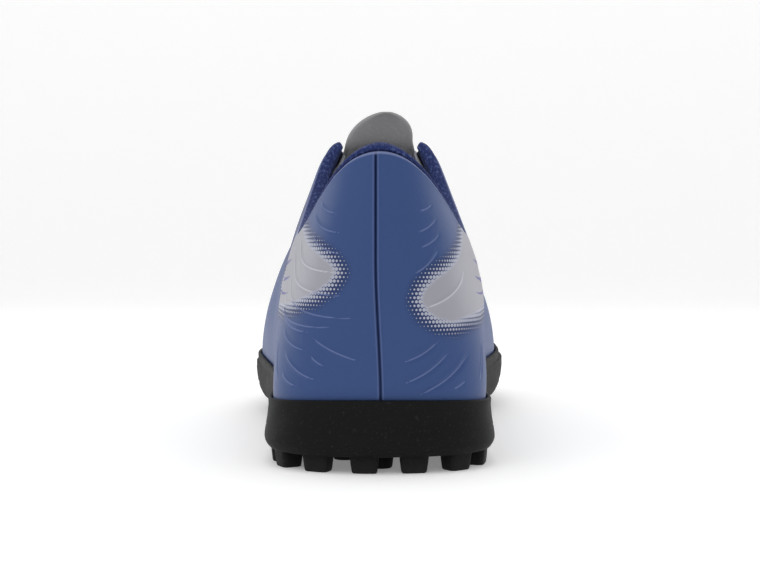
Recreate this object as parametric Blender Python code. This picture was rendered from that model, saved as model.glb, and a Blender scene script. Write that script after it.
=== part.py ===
"""A left turf shoe at its real size, standing on its sole.

The toe points along +Y, the inner (big toe) side is +X, and the floor is Z = 0.
The last is an outline on the floor and ribs that climb from it to the top line:
the collar edge, the throat edge and the crown of the vamp. Every piece takes its
place from these ribs and from the sizes below.
"""

import math

import bpy
import numpy as np

MM = 0.001

# Plan sizes of the sole
LENGTH = 280.0 * MM
HEEL_WIDTH = 67.4 * MM
WAIST_WIDTH = 67.0 * MM
BALL_WIDTH = 95.0 * MM
TOE_SWING = 9.0 * MM

# Heights above the floor
BACK_HEIGHT = 88.6 * MM
ANKLE_HEIGHT = 65.2 * MM
WING_HEIGHT = 95.0 * MM
VAMP_HEIGHT = 60.0 * MM
TOE_HEIGHT = 43.0 * MM
TONGUE_HEIGHT = 106.5 * MM

# The opening seen from above
COLLAR_WIDTH = 52.6 * MM
THROAT_WIDTH = 25.6 * MM
INNER_SWELL = 1.9 * MM

# Sole
LUG_HEIGHT = 4.6 * MM
LUG_WIDTH = 7.6 * MM
LUG_DEPTH = 7.0 * MM
LUG_PITCH = 13.4 * MM
LUG_START = -4.1 * MM
STUD_RADIUS = 4.0 * MM
STUD_PITCH = 20.0 * MM
HEEL_FOOTBED = 12.0 * MM
BALL_FOOTBED = 9.5 * MM
ARCH_RISE = 2.0 * MM
TOE_SPRING = 8.0 * MM
RIM_BACK = 7.7 * MM
RIM_SIDE = 6.4 * MM
RIM_BALL = 12.0 * MM
RIM_TOE = 12.5 * MM
RIM_WALL = 1.3 * MM
UPPER_INSET = 3.3 * MM
WAIST_GROOVE = 0.8 * MM
HEEL_UNDERCUT = 1.9 * MM
BALL_UNDERCUT = 4.4 * MM
CHAMFER = 1.2 * MM

# Walls and soft pieces
UPPER_WALL = 1.7 * MM
EYESTAY_STEP = 0.7 * MM
LINING_WALL = 3.4 * MM
LINING_DEPTH = 26.0 * MM
ROLL_HEIGHT = 2.8 * MM
INSOLE_WALL = 4.0 * MM
TONGUE_WALL = 3.0 * MM
TONGUE_WIDTH = 46.0 * MM
TONGUE_TILT = 2.4 * MM
LACE_WIDTH = 6.0 * MM
LACE_WALL = 1.3 * MM
EYELET_RADIUS = 2.1 * MM
EYELET_INSET = 7.0 * MM
EYELET_PAIRS = 6

# Clearance between pieces that touch
GAP = 0.3 * MM

UP = np.array([0.0, 0.0, 1.0])
ACROSS = np.array([1.0, 0.0, 0.0])

# Outline: share of the length, the width that the row follows, the row's share of
# that width, and its share of the toe's swing
OUTLINE = (
    ("along", "follows", "width", "swing"),
    (0.000, "heel", 0.000, 0.00),
    (0.010, "heel", 0.480, 0.00),
    (0.030, "heel", 0.745, 0.00),
    (0.060, "heel", 0.915, 0.00),
    (0.100, "heel", 0.988, -0.01),
    (0.150, "heel", 1.000, -0.03),
    (0.220, "heel", 0.990, -0.08),
    (0.300, "waist", 0.997, -0.16),
    (0.380, "waist", 1.025, -0.22),
    (0.460, "waist", 1.110, -0.23),
    (0.540, "ball", 0.875, -0.17),
    (0.620, "ball", 0.972, -0.09),
    (0.690, "ball", 1.000, 0.05),
    (0.760, "ball", 0.976, 0.21),
    (0.830, "ball", 0.908, 0.41),
    (0.890, "ball", 0.797, 0.60),
    (0.940, "ball", 0.640, 0.77),
    (0.975, "ball", 0.440, 0.90),
    (0.992, "ball", 0.258, 0.97),
    (1.000, "ball", 0.000, 1.00),
)

# Ribs from the heel seam to the toe. Turn is the foot's share of the half turn from
# heel to toe. Along, spread and rise place the top point: shares of the length, of
# the collar's or throat's width and of the zone's climb. Low and lean shape the rib
# above its foot, high and slope below its top; angles are in degrees.
RIBS = (
    ("turn", "along", "spread", "zone", "rise", "low", "lean", "high", "slope"),
    (0.0000, 0.0360, 0.000, "back", 1.000, 0.34, 12, 0.30, 80),
    (0.0611, 0.0404, 0.230, "back", 0.948, 0.34, 11, 0.30, 79),
    (0.1222, 0.0536, 0.430, "back", 0.797, 0.34, 10, 0.30, 78),
    (0.1833, 0.0786, 0.625, "back", 0.530, 0.35, 9, 0.30, 77),
    (0.2500, 0.1179, 0.810, "back", 0.215, 0.36, 9, 0.30, 76),
    (0.3111, 0.1714, 0.955, "back", 0.022, 0.36, 11, 0.30, 73),
    (0.3556, 0.2250, 0.985, "side", 0.034, 0.36, 13, 0.30, 72),
    (0.3861, 0.2714, 0.930, "side", 0.243, 0.36, 14, 0.30, 71),
    (0.4083, 0.3054, 0.830, "side", 0.568, 0.36, 15, 0.30, 70),
    (0.4250, 0.3268, 0.720, "side", 0.858, 0.36, 16, 0.30, 69),
    (0.4417, 0.3429, 0.600, "side", 1.000, 0.36, 16, 0.30, 68),
    (0.4611, 0.3643, 1.060, "throat", 0.955, 0.36, 17, 0.31, 62),
    (0.5000, 0.4214, 1.000, "throat", 0.787, 0.37, 17, 0.33, 48),
    (0.5389, 0.4893, 0.940, "throat", 0.564, 0.38, 14, 0.36, 38),
    (0.5778, 0.5571, 0.860, "throat", 0.337, 0.38, 10, 0.40, 28),
    (0.6111, 0.6143, 0.724, "throat", 0.146, 0.38, 7, 0.43, 17),
    (0.6333, 0.6482, 0.490, "throat", 0.045, 0.38, 6, 0.45, 8),
    (0.6500, 0.6643, 0.000, "crown", 1.000, 0.38, 5, 0.46, 0),
    (0.7000, 0.7107, 0.000, "crown", 0.780, 0.38, 4, 0.46, 0),
    (0.7611, 0.7679, 0.000, "crown", 0.530, 0.40, 4, 0.46, 0),
    (0.8222, 0.8214, 0.000, "crown", 0.320, 0.44, 4, 0.46, 0),
    (0.8833, 0.8643, 0.000, "crown", 0.150, 0.48, 4, 0.46, 0),
    (0.9444, 0.8929, 0.000, "crown", 0.040, 0.50, 4, 0.46, 0),
    (1.0000, 0.9036, 0.000, "crown", 0.000, 0.50, 4, 0.46, 0),
)

# Rim of the sole: share of the half turn, and the height that the rim takes there
RIM = (
    ("turn", "height"),
    (0.00, RIM_BACK),
    (0.16, RIM_SIDE),
    (0.34, RIM_SIDE),
    (0.58, RIM_BALL),
    (0.80, RIM_BALL),
    (1.00, RIM_TOE),
)

# Tongue: rows of ribs that it passes, and its share of the tongue's width there
TONGUE = (
    ("rib", "width"),
    (18.6, 0.42),
    (17.0, 0.56),
    (15.0, 0.78),
    (13.0, 0.94),
    (12.0, 0.86),
    (11.0, 0.64),
    (10.2, 0.49),
)

WIDTHS = {"heel": HEEL_WIDTH, "waist": WAIST_WIDTH, "ball": BALL_WIDTH}
ZONES = {
    "back": (ANKLE_HEIGHT, BACK_HEIGHT),
    "side": (ANKLE_HEIGHT, WING_HEIGHT),
    "throat": (VAMP_HEIGHT, WING_HEIGHT),
    "crown": (TOE_HEIGHT, VAMP_HEIGHT),
}
OPENINGS = {"back": COLLAR_WIDTH, "side": COLLAR_WIDTH, "throat": THROAT_WIDTH, "crown": 0.0}


def column(table, name):
    """One column of a table that has its names in the first row."""
    place = table[0].index(name)
    return [row[place] for row in table[1:]]


ZONE = column(RIBS, "zone")
WING = ZONE.index("throat") - 1
THROAT_END = ZONE.index("crown")
TOE = len(ZONE) - 1


def spline(knots, values, start="free", end="free"):
    """Cubic spline through values at knots, as a function; an end is flat or free."""
    knots = np.asarray(knots, float)
    values = np.asarray(values, float)
    count = len(knots)
    step = np.diff(knots)
    rise = np.diff(values) / step
    matrix = np.eye(count)
    right = np.zeros(count)
    for i in range(1, count - 1):
        matrix[i, i - 1 : i + 2] = (step[i - 1], 2 * (step[i - 1] + step[i]), step[i])
        right[i] = 6 * (rise[i] - rise[i - 1])
    if start == "flat":
        matrix[0, :2] = (2 * step[0], step[0])
        right[0] = 6 * rise[0]
    if end == "flat":
        matrix[-1, -2:] = (step[-1], 2 * step[-1])
        right[-1] = -6 * rise[-1]
    bend = np.linalg.solve(matrix, right)

    def read(at):
        at = np.asarray(at, float)
        i = np.clip(np.searchsorted(knots, at) - 1, 0, count - 2)
        before = at - knots[i]
        after = knots[i + 1] - at
        h = step[i]
        curved = (bend[i] * after**3 + bend[i + 1] * before**3) / (6 * h)
        line = (values[i] / h - bend[i] * h / 6) * after
        return curved + line + (values[i + 1] / h - bend[i + 1] * h / 6) * before

    return read


def top_height(i):
    """Height of the top point of rib i."""
    low, high = ZONES[ZONE[i]]
    return low + (high - low) * column(RIBS, "rise")[i]


def outline_curves():
    """Half width and centre of the outline against the angle from heel to toe."""
    knots = np.arccos(1 - 2 * np.array(column(OUTLINE, "along")))
    widths = np.array([WIDTHS[name] for name in column(OUTLINE, "follows")])
    half = spline(knots, np.array(column(OUTLINE, "width")) * widths / 2)
    centre = spline(knots, np.array(column(OUTLINE, "swing")) * TOE_SWING, "flat", "flat")
    return half, centre


def rib_curves():
    """Splines through the rib table's columns, by name, and through the top points."""
    knots = np.arange(TOE + 1)
    shapes = ("low", "lean", "high", "slope")
    found = {name: spline(knots, column(RIBS, name), "flat", "flat") for name in shapes}
    found["turn"] = spline(knots, column(RIBS, "turn"))
    along = np.array(column(RIBS, "along")) * LENGTH
    opened = THROAT_END + 1
    found["near"] = spline(knots[:opened], along[:opened], "flat", "flat")
    found["far"] = spline(knots[THROAT_END:], along[THROAT_END:], "free", "flat")
    heights = [top_height(i) for i in knots]
    found["height"] = spline(knots, heights, "flat")
    found["ridge"] = spline(along[WING:], heights[WING:])
    halves = [share * OPENINGS[name] / 2 for share, name in zip(column(RIBS, "spread"), ZONE)]
    found["half"] = spline(knots[:opened], halves[:opened])
    return found


OUTLINE_HALF, OUTLINE_CENTRE = outline_curves()
RIB = rib_curves()
RIM_RISE = spline(column(RIM, "turn"), column(RIM, "height"), "flat", "flat")
TONGUE_HALF = spline(column(TONGUE, "rib")[::-1], column(TONGUE, "width")[::-1])


def ease(share):
    """Smooth step from 0 to 1."""
    share = np.clip(share, 0, 1)
    return share * share * (3 - 2 * share)


def unit(vectors):
    return vectors / np.linalg.norm(vectors, axis=-1, keepdims=True)


def plan(turn):
    """Point of the outline on the floor; turn runs from -1 to 1, 0 is the heel."""
    angle = math.pi * np.abs(turn)
    x = OUTLINE_CENTRE(angle) + np.sign(turn) * OUTLINE_HALF(angle)
    return np.stack([x, LENGTH * (1 - np.cos(angle)) / 2], -1)


def outline(turn, inset):
    """Outline moved inwards by inset, and its outward direction."""
    turn = np.asarray(turn, float)
    small = 0.002
    ahead = np.where(turn + small > 1, turn + small - 2, turn + small)
    behind = np.where(turn - small < -1, turn - small + 2, turn - small)
    along = unit(plan(ahead) - plan(behind))
    out = np.stack([along[..., 1], -along[..., 0], 0 * turn], -1)
    flat = plan(turn)
    point = np.stack([flat[..., 0], flat[..., 1], 0 * turn], -1)
    return point - out * inset, out


def spring(y):
    """How far the toe rises off the floor at this place along the shoe."""
    start = 0.70
    return TOE_SPRING * np.clip((y / LENGTH - start) / (1 - start), 0, 1) ** 2


def underside(y):
    """Height of the plate that carries the lugs, raised under the arch."""
    arch = np.exp(-(((y / LENGTH - 0.40) / 0.10) ** 2))
    return LUG_HEIGHT + spring(y) + ARCH_RISE * arch


def footbed(y):
    """Height of the floor inside the shoe."""
    down = ease((y / LENGTH - 0.25) / 0.40)
    return HEEL_FOOTBED + (BALL_FOOTBED - HEEL_FOOTBED) * down + spring(y)


def centre_line(y):
    """Sideways place of the crown and throat above the floor's centre line."""
    return TOE_SWING * 0.6 * ease((y / LENGTH - 0.55) / 0.42)


def ridge(y):
    """Height of the throat edge and crown at this place along the shoe."""
    return RIB["ridge"](y)


def slowed(rib):
    """Rib number with its pace slowed to a stop at the throat's round end."""
    reach = 2.5
    off = np.clip((rib - THROAT_END) / reach, -1, 1) ** 2
    return THROAT_END + (rib - THROAT_END) * (2 * off - off * off)


def top_line(rib, side):
    """Top points of the ribs."""
    at = slowed(rib)
    near = RIB["near"](np.minimum(at, THROAT_END))
    y = np.where(at <= THROAT_END, near, RIB["far"](np.maximum(at, THROAT_END)))
    follow = ease((at - WING) / 2)
    z = (1 - follow) * RIB["height"](at) + follow * ridge(y)
    half = np.where(at >= THROAT_END, 0.0, RIB["half"](np.minimum(at, THROAT_END)))
    return np.stack([centre_line(y) + side * half, y, z], -1)


def swell(rib, side, share):
    """How far the inner side stands out beside the ankle: most at three quarters of each rib."""
    beside = ease((rib - 1) / 3) * ease((WING - 1 - rib) / 3) * (side > 0)
    return INNER_SWELL * beside[..., None] * ease(share / 0.75) * (1 - 0.4 * ease((share - 0.75) / 0.25))


def rib_curve(rib, share):
    """Point of the rib's curve, share 0 at the sole and 1 at the top line."""
    at = np.minimum(np.abs(rib), 2 * TOE - np.abs(rib))
    side = np.where(rib < 0, -1.0, 1.0) * np.where(np.abs(rib) > TOE, -1.0, 1.0)
    foot, out = outline(side * np.clip(RIB["turn"](at), 0, 1), UPPER_INSET)
    foot = foot + (footbed(foot[..., 1]) + GAP)[..., None] * UP
    top = top_line(at, side)
    small = 0.5 * MM
    y = top[..., 1]
    fall = (ridge(y - small) - ridge(y + small)) / (2 * small) * ease((at - WING) / 3)
    along = unit(np.stack([0 * y, 1 + 0 * y, -fall], -1))
    away = out[..., :1] * ACROSS + out[..., 1:2] * along
    reach = np.linalg.norm(top - foot, axis=-1)[..., None]
    lean = np.radians(RIB["lean"](at))[..., None]
    slope = np.radians(RIB["slope"](at))[..., None]
    low = foot + reach * RIB["low"](at)[..., None] * (np.cos(lean) * UP + np.sin(lean) * out)
    high = top + reach * RIB["high"](at)[..., None] * (np.cos(slope) * away - np.sin(slope) * UP)
    s = np.asarray(share, float)[..., None]
    path = (1 - s) ** 3 * foot + 3 * s * (1 - s) ** 2 * low + 3 * s * s * (1 - s) * high + s**3 * top
    return path + out * swell(at, side, s)


def last_normal(rib, share):
    """Outward direction of the last's surface."""
    step = 0.08
    small = 0.004
    under_top = np.minimum(share, 0.99)
    along = rib_curve(rib + step, under_top) - rib_curve(rib - step, under_top)
    up = rib_curve(rib, share + small) - rib_curve(rib, share - small)
    return unit(np.cross(along, up))


def last(rib, share, depth):
    """Point of the last at a depth under the upper's outer face."""
    rib, share, depth = np.broadcast_arrays(np.asarray(rib, float), share, depth)
    point = rib_curve(rib, share) - depth[..., None] * last_normal(rib, share)
    joined = (np.abs(rib) >= THROAT_END) & (share >= 1)
    if joined.any():
        other = rib_curve(-rib[joined], share[joined])
        other = other - depth[joined][..., None] * last_normal(-rib[joined], share[joined])
        point[joined] = (point[joined] + other) / 2
    return point


def make(name, points, faces, finish):
    """Object from points and faces, with its faces turned outwards."""
    mesh = bpy.data.meshes.new(name)
    mesh.from_pydata([tuple(p) for p in points], [], faces)
    mesh.materials.append(material(name, *finish))
    piece = bpy.data.objects.new(name, mesh)
    bpy.context.scene.collection.objects.link(piece)
    if volume(points, faces) < 0:
        mesh.flip_normals()
    mesh.shade_smooth()
    mesh.set_sharp_from_angle(angle=math.radians(35))
    mesh.update()
    return piece


def volume(points, faces):
    """Six times the signed volume that the faces enclose."""
    points = np.asarray(points)
    total = 0.0
    for face in faces:
        for i in range(1, len(face) - 1):
            total += np.dot(points[face[0]], np.cross(points[face[i]], points[face[i + 1]]))
    return total


def material(name, colour, roughness):
    """Plain finish of one piece."""
    finish = bpy.data.materials.new(name)
    finish.use_nodes = True
    shader = finish.node_tree.nodes["Principled BSDF"]
    shader.inputs["Base Color"].default_value = (*colour, 1.0)
    shader.inputs["Roughness"].default_value = roughness
    shader.inputs["Metallic"].default_value = 0.0
    finish.diffuse_color = (*colour, 1.0)
    return finish


def ring_ribs():
    """Rib numbers once round the shoe, from the heel along +X and back along -X."""
    half = list(np.linspace(0, WING, 16))
    half += list(np.linspace(WING, THROAT_END, 13)[1:])
    half += list(np.linspace(THROAT_END, TOE, 12)[1:])
    return np.array(half + [-rib for rib in half[-2:0:-1]])


def cyclic(i, count):
    return (i + 1) % count


def upper():
    """Hollow shell on the last: a wall with a step at the eyestay, open at the top and below."""
    ribs = ring_ribs()
    step_at = 0.80
    shares = [0, 0.1, 0.2, 0.31, 0.43, 0.55, 0.67, step_at - 0.008, step_at + 0.008, 0.88, 0.95, 1]
    count = len(ribs)
    grid_rib, grid_share = np.meshgrid(ribs, shares, indexing="ij")
    at = np.abs(grid_rib)
    stay = ease((at - WING + 0.5) / 1.5) * ease((THROAT_END + 1.0 - at) / 1.5) * (grid_share > step_at)
    outer = last(grid_rib, grid_share, -EYESTAY_STEP * stay)
    inner = last(grid_rib, grid_share, UPPER_WALL)
    layers = len(shares)
    points = np.concatenate([outer.reshape(-1, 3), inner.reshape(-1, 3)])
    half = count * layers
    top = layers - 1

    def spot(i, j, inside):
        mate = (count - i) % count
        if j == top and abs(ribs[i]) >= THROAT_END:
            i = min(i, mate)
        return i * layers + j + inside * half

    faces = []
    for i in range(count):
        n = cyclic(i, count)
        for j in range(top):
            faces.append((spot(i, j, 0), spot(n, j, 0), spot(n, j + 1, 0), spot(i, j + 1, 0)))
            faces.append((spot(i, j + 1, 1), spot(n, j + 1, 1), spot(n, j, 1), spot(i, j, 1)))
        faces.append((spot(i, 0, 1), spot(n, 0, 1), spot(n, 0, 0), spot(i, 0, 0)))
        if max(abs(ribs[i]), abs(ribs[n])) <= THROAT_END:
            faces.append((spot(i, top, 0), spot(n, top, 0), spot(n, top, 1), spot(i, top, 1)))
    points, faces = tidy(points, faces)
    piece = make("upper", points, faces, ((0.048, 0.089, 0.223), 0.5))
    cut = piece.modifiers.new("eyelets", "BOOLEAN")
    cut.operation = "DIFFERENCE"
    cut.object = eyelet_cutters()
    return piece


def tidy(points, faces):
    """Drops unused points and faces that have collapsed to a line."""
    kept = []
    for face in faces:
        ends = [v for k, v in enumerate(face) if v != face[k - 1]]
        if len(set(ends)) > 2:
            kept.append(tuple(ends))
    used = sorted({v for face in kept for v in face})
    place = {v: k for k, v in enumerate(used)}
    return points[used], [tuple(place[v] for v in face) for face in kept]


def eyelet_place(i, side):
    """Rib and share of eyelet i, counted from the top."""
    ribs = np.linspace(WING, THROAT_END, 300)
    along = top_line(ribs, 1.0)[:, 1]
    first = along[0] + EYELET_INSET * 0.5
    last_one = along[-1] - EYELET_INSET * 1.5
    rib = side * float(np.interp(first + (last_one - first) * i / (EYELET_PAIRS - 1), along, ribs))
    shares = np.linspace(0.5, 1, 60)
    path = last(rib, shares, 0.0)
    below = np.cumsum(np.linalg.norm(np.diff(path[::-1], axis=0), axis=-1))
    return rib, float(np.interp(EYELET_INSET, below, shares[-2::-1]))


def eyelet_cutters():
    """Round punches through the eyestay, six on each side."""
    sides = 10
    points = []
    faces = []
    for side in (-1, 1):
        for i in range(EYELET_PAIRS):
            rib, share = eyelet_place(i, side)
            centre = last(rib, share, 0.0)
            out = last_normal(rib, share)
            across = unit(np.cross(out, UP))
            up = np.cross(across, out)
            start = len(points)
            for depth in (-4 * EYESTAY_STEP, UPPER_WALL + 4 * EYESTAY_STEP):
                for k in range(sides):
                    turn = 2 * math.pi * k / sides
                    rim = across * math.cos(turn) + up * math.sin(turn)
                    points.append(centre - out * depth + rim * EYELET_RADIUS)
            faces.append(tuple(start + k for k in range(sides)))
            faces.append(tuple(start + sides + k for k in reversed(range(sides))))
            for k in range(sides):
                n = cyclic(k, sides)
                faces.append((start + n, start + k, start + sides + k, start + sides + n))
    cutters = make("eyelet_cutters", points, faces, ((0.5, 0.5, 0.5), 0.5))
    cutters.hide_render = True
    cutters.display_type = "WIRE"
    return cutters


def loft_faces(sections, first=0):
    """Faces of a capped body through rings of points, numbered from first."""
    count, size = np.asarray(sections).shape[:2]
    faces = [tuple(first + j for j in range(size))]
    for i in range(count - 1):
        for j in range(size):
            m = cyclic(j, size)
            low = first + i * size
            faces.append((low + j, low + size + j, low + size + m, low + m))
    faces.append(tuple(first + (count - 1) * size + j for j in reversed(range(size))))
    return faces


def loft(name, sections, finish):
    """Capped body through rings of points."""
    return make(name, np.asarray(sections).reshape(-1, 3), loft_faces(sections), finish)


def collar_lining():
    """Padded knit band inside the collar, with a roll that stands above the edge."""
    ribs = np.sort(ring_ribs())
    ribs = ribs[np.abs(ribs) < WING - 0.01]
    sections = []
    for rib in ribs:
        fade = 1 - 0.72 * ease((abs(rib) - WING + 4.5) / 4.0)
        shares = np.linspace(0, 1, 120)
        path = rib_curve(rib + 0 * shares, shares)
        down = np.cumsum(np.linalg.norm(np.diff(path[::-1], axis=0), axis=-1))
        depths = LINING_DEPTH * np.array([1.0, 0.72, 0.44, 0.2, 0.0])
        at = np.interp(depths, np.append(0, down), shares[::-1])
        behind = UPPER_WALL + GAP
        wall = LINING_WALL * fade
        padded = wall * np.array([0.35, 0.7, 0.95, 1.0, 1.0])
        near = last(rib, at, behind)
        far = last(rib, at, behind + padded)[::-1]
        top = last(rib, 1.0, 0.0)
        inwards = -last_normal(np.array(rib), np.array(1.0))
        rise = unit(path[-1] - path[-3])
        roll = ROLL_HEIGHT * (0.45 + 0.55 * fade)
        full = behind + wall
        arch = [(behind, GAP), (0.4 * behind, 2.5 * GAP), (0.25 * behind, 0.6 * roll), (0.5 * full, roll)]
        arch.append((0.97 * full, 0.5 * roll))
        head = [top + inwards * d + rise * h for d, h in arch]
        sections.append(np.concatenate([near, head, far]))
    return loft("collar_lining", sections, ((0.022, 0.035, 0.135), 0.8))


def bridges(ribs, depth):
    """Curves over the throat from side to side through ribs, and their lengths from the middle."""
    ribs = np.asarray(ribs, float)[:, None]
    shares = np.linspace(0.45, 1, 40)
    right = last(ribs, shares, depth)
    left = last(-ribs, shares, depth)
    pull = 0.22 * np.linalg.norm(right[:, -1] - left[:, -1], axis=-1)[:, None, None]
    a = right[:, -1:] + unit(right[:, -1:] - right[:, -3:-2]) * pull
    b = left[:, -1:] + unit(left[:, -1:] - left[:, -3:-2]) * pull
    s = np.linspace(0, 1, 25)[1:-1, None]
    over = (1 - s) ** 3 * left[:, -1:] + 3 * s * (1 - s) ** 2 * b
    over = over + 3 * s * s * (1 - s) * a + s**3 * right[:, -1:]
    paths = np.concatenate([left, over, right[:, ::-1]], axis=1)
    steps = np.linalg.norm(np.diff(paths, axis=1), axis=-1)
    reach = np.concatenate([np.zeros((len(ribs), 1)), np.cumsum(steps, axis=1)], axis=1)
    return paths, reach - reach[:, -1:] / 2


def over_throat(ribs, reaches, depth):
    """Points of the bridges at signed distances from their middles, one row of them a rib."""
    paths, along = bridges(ribs, depth)
    rows = zip(reaches, along, paths)
    return np.array([[np.interp(reach, places, path[:, k]) for k in range(3)] for reach, places, path in rows])


def tongue():
    """Padded tongue: under the vamp and eyestay, free and round at its top."""
    across = np.linspace(-1, 1, 13)
    under = UPPER_WALL + 3 * GAP
    ribs = np.array([18.6, 18.1, 17.6, 16.2, 15.2, 14.4, 13.6, 12.8, 12.0, 11.3, 10.7, 10.2])
    widths = TONGUE_HALF(ribs)
    reaches = TONGUE_WIDTH / 2 * widths[:, None] * across
    rows = list(over_throat(ribs, reaches, under).transpose(0, 2, 1))
    base = rows[-1]
    middle = base[len(across) // 2]
    climb = TONGUE_HEIGHT - middle[2]
    lean_back = 0.55
    for share in (0.20, 0.40, 0.58, 0.74, 0.86, 0.94, 0.985):
        wide = (1 - share**2) ** 0.55
        row = base.copy()
        row[:, 0] = middle[0] + TONGUE_TILT * share + (base[:, 0] - middle[0]) * wide
        back = climb * lean_back * (share - 0.3 * share**2)
        row[:, 1] = middle[1] + (base[:, 1] - middle[1]) * (1 - share) - back
        row[:, 2] = middle[2] + (base[:, 2] - middle[2]) * (1 - share) * 0.9 + climb * share
        rows.append(row)
    face = np.array(rows)
    along = np.gradient(face, axis=0)
    sideways = np.gradient(face, axis=1)
    normal = unit(np.cross(sideways, along))
    thick = TONGUE_WALL * (0.5 + 0.5 * np.sqrt(1 - across**4))
    back = face + normal * thick[None, :, None]
    sections = np.concatenate([face, back[:, ::-1]], axis=1)
    return loft("tongue", sections, ((0.55, 0.56, 0.58), 0.8))


def insole():
    """Loose sockliner on the footbed, inside the upper's wall."""
    inset = UPPER_INSET + UPPER_WALL + 2 * GAP
    turn, _ = ring_turns(52)
    edge, _ = outline(turn, inset)
    low = edge + (footbed(edge[:, 1]) + GAP)[:, None] * UP
    soft, _ = outline(turn, inset + 0.3 * INSOLE_WALL)
    high = edge + (footbed(edge[:, 1]) + GAP + 0.75 * INSOLE_WALL)[:, None] * UP
    top = soft + (footbed(soft[:, 1]) + GAP + INSOLE_WALL)[:, None] * UP
    return ladder_body("insole", [low, high, top], ((0.03, 0.05, 0.16), 0.85))


def ring_turns(count):
    """Turns once round the outline, from the heel, and the ring's size."""
    half = np.linspace(0, 1, count // 2 + 1)
    return np.concatenate([half, -half[-2:0:-1]]), count


def ladder_body(name, rings, finish):
    """Body between rings of equal size; the first and last are closed by rungs from side to side."""
    size = len(rings[0])
    points = np.concatenate(rings)
    faces = []
    for k in range(len(rings) - 1):
        for i in range(size):
            n = cyclic(i, size)
            faces.append((k * size + i, k * size + n, (k + 1) * size + n, (k + 1) * size + i))
    for base, turned in ((0, True), ((len(rings) - 1) * size, False)):
        for i in range(size // 2):
            a, b = base + i, base + i + 1
            c, d = base + size - i - 1, base + (size - i) % size
            face = (a, b, c, d)
            faces.append(face[::-1] if turned else face)
    points, faces = tidy(points, faces)
    return make(name, points, faces, finish)


def rim_share(rib):
    """Share of each rib that the sole's rim covers."""
    shares = np.linspace(0, 0.6, 60)
    rise = RIM_RISE(RIB["turn"](np.abs(rib)))
    grid_rib, grid_share = np.meshgrid(rib, shares, indexing="ij")
    paths = rib_curve(grid_rib, grid_share)[..., 2]
    return np.array([np.interp(path[0] + up, path, shares) for path, up in zip(paths, rise)])


def ball_share(turn):
    """0 along the heel and 1 along the forefoot, where the sidewall bulges higher up."""
    return ease((np.abs(turn) - 0.34) / 0.20)


def undercut(turn):
    """How far the sidewall draws in under its bulge."""
    return HEEL_UNDERCUT + (BALL_UNDERCUT - HEEL_UNDERCUT) * ball_share(turn)


def outsole():
    """Rubber cup: footbed, rim that hugs the upper, hollowed and bulged sidewall, plate and lugs."""
    ribs = ring_ribs()
    turn = RIB["turn"](np.abs(ribs)) * np.where(ribs < 0, -1, 1)
    covered = rim_share(ribs)
    inner = [last(ribs, covered * k, -GAP) for k in (0.0, 0.5, 1.0)]
    floor = inner[0].copy()
    floor[:, 2] = footbed(floor[:, 1])
    inner[0] = floor
    crest = last(ribs, covered, -GAP - 0.5 * RIM_WALL) + 0.35 * RIM_WALL * UP
    outer = last(ribs, covered, -GAP - RIM_WALL)
    rim_low = last(ribs, covered * 0.72, -GAP - RIM_WALL)
    rings = inner + [crest, outer, rim_low]
    ball = ball_share(turn)
    bulge = 0.22 + 0.40 * ball
    tuck = undercut(turn)
    sidewall = (
        (WAIST_GROOVE * (1 - ball), 0.5 + 0.5 * bulge),
        (0.4 * WAIST_GROOVE * (1 - ball), 0.25 + 0.75 * bulge),
        (0 * tuck, bulge),
        (0.18 * tuck, 0.5 * bulge),
        (0.62 * tuck, 0.1 * bulge),
        (tuck, 0 * bulge),
        (tuck + CHAMFER, 0 * bulge),
    )
    for inset, share in sidewall:
        ring, _ = outline(turn, inset[:, None])
        base = underside(ring[:, 1])
        ring[:, 2] = base + (outer[:, 2] - base) * share
        rings.append(ring)
    piece = ladder_body("outsole", rings, ((0.013, 0.013, 0.014), 0.62))
    union = piece.modifiers.new("lugs", "BOOLEAN")
    union.operation = "UNION"
    union.object = lugs()
    return piece


def edge_lugs():
    """Teeth under the sidewall: their middles and outward directions round the outline."""
    turn = np.linspace(-1, 1, 1201)
    inset = (undercut(turn) + LUG_DEPTH / 2)[:, None]
    path, out = outline(turn, inset)
    length = np.append(0, np.cumsum(np.linalg.norm(np.diff(path, axis=0), axis=-1)))
    count = 2 * round(length[-1] / LUG_PITCH / 2)
    places = length[600] + LUG_START + (np.arange(count) - count // 2) * length[-1] / count
    at = np.interp(places % length[-1], length, turn)
    return outline(at, (undercut(at) + LUG_DEPTH / 2)[:, None])


def lugs():
    """Edge teeth and rows of round studs, as one set of closed bodies."""
    points = []
    faces = []
    sink = 1.0 * MM

    def add(centre, rim, taper):
        base = underside(centre[1])
        start = len(points)
        size = len(rim)
        for height, scale in ((base + sink, 1.0), (base - LUG_HEIGHT, taper)):
            for offset in rim:
                spot = centre + offset * scale
                points.append((spot[0], spot[1], height))
        faces.append(tuple(start + k for k in range(size)))
        faces.append(tuple(start + size + k for k in reversed(range(size))))
        for k in range(size):
            n = cyclic(k, size)
            faces.append((start + n, start + k, start + size + k, start + size + n))

    middles, outs = edge_lugs()
    for centre, out in zip(middles, outs):
        along = np.array([-out[1], out[0], 0.0])
        corners = ((1, 0.8), (1, -0.8), (0.6, -1), (-0.9, -0.75), (-0.9, 0.75), (0.6, 1))
        rim = [out * a * LUG_DEPTH / 2 + along * b * LUG_WIDTH / 2 for a, b in corners]
        add(centre, rim, 0.86)
    hexagon = [math.radians(60 * k + 30) for k in range(6)]
    rim = [np.array([math.cos(a), math.sin(a), 0.0]) * STUD_RADIUS for a in hexagon]
    for centre in stud_places():
        add(centre, rim, 0.78)
    piece = make("lug_set", points, faces, ((0.5, 0.5, 0.5), 0.5))
    piece.hide_render = True
    piece.display_type = "WIRE"
    return piece


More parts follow.
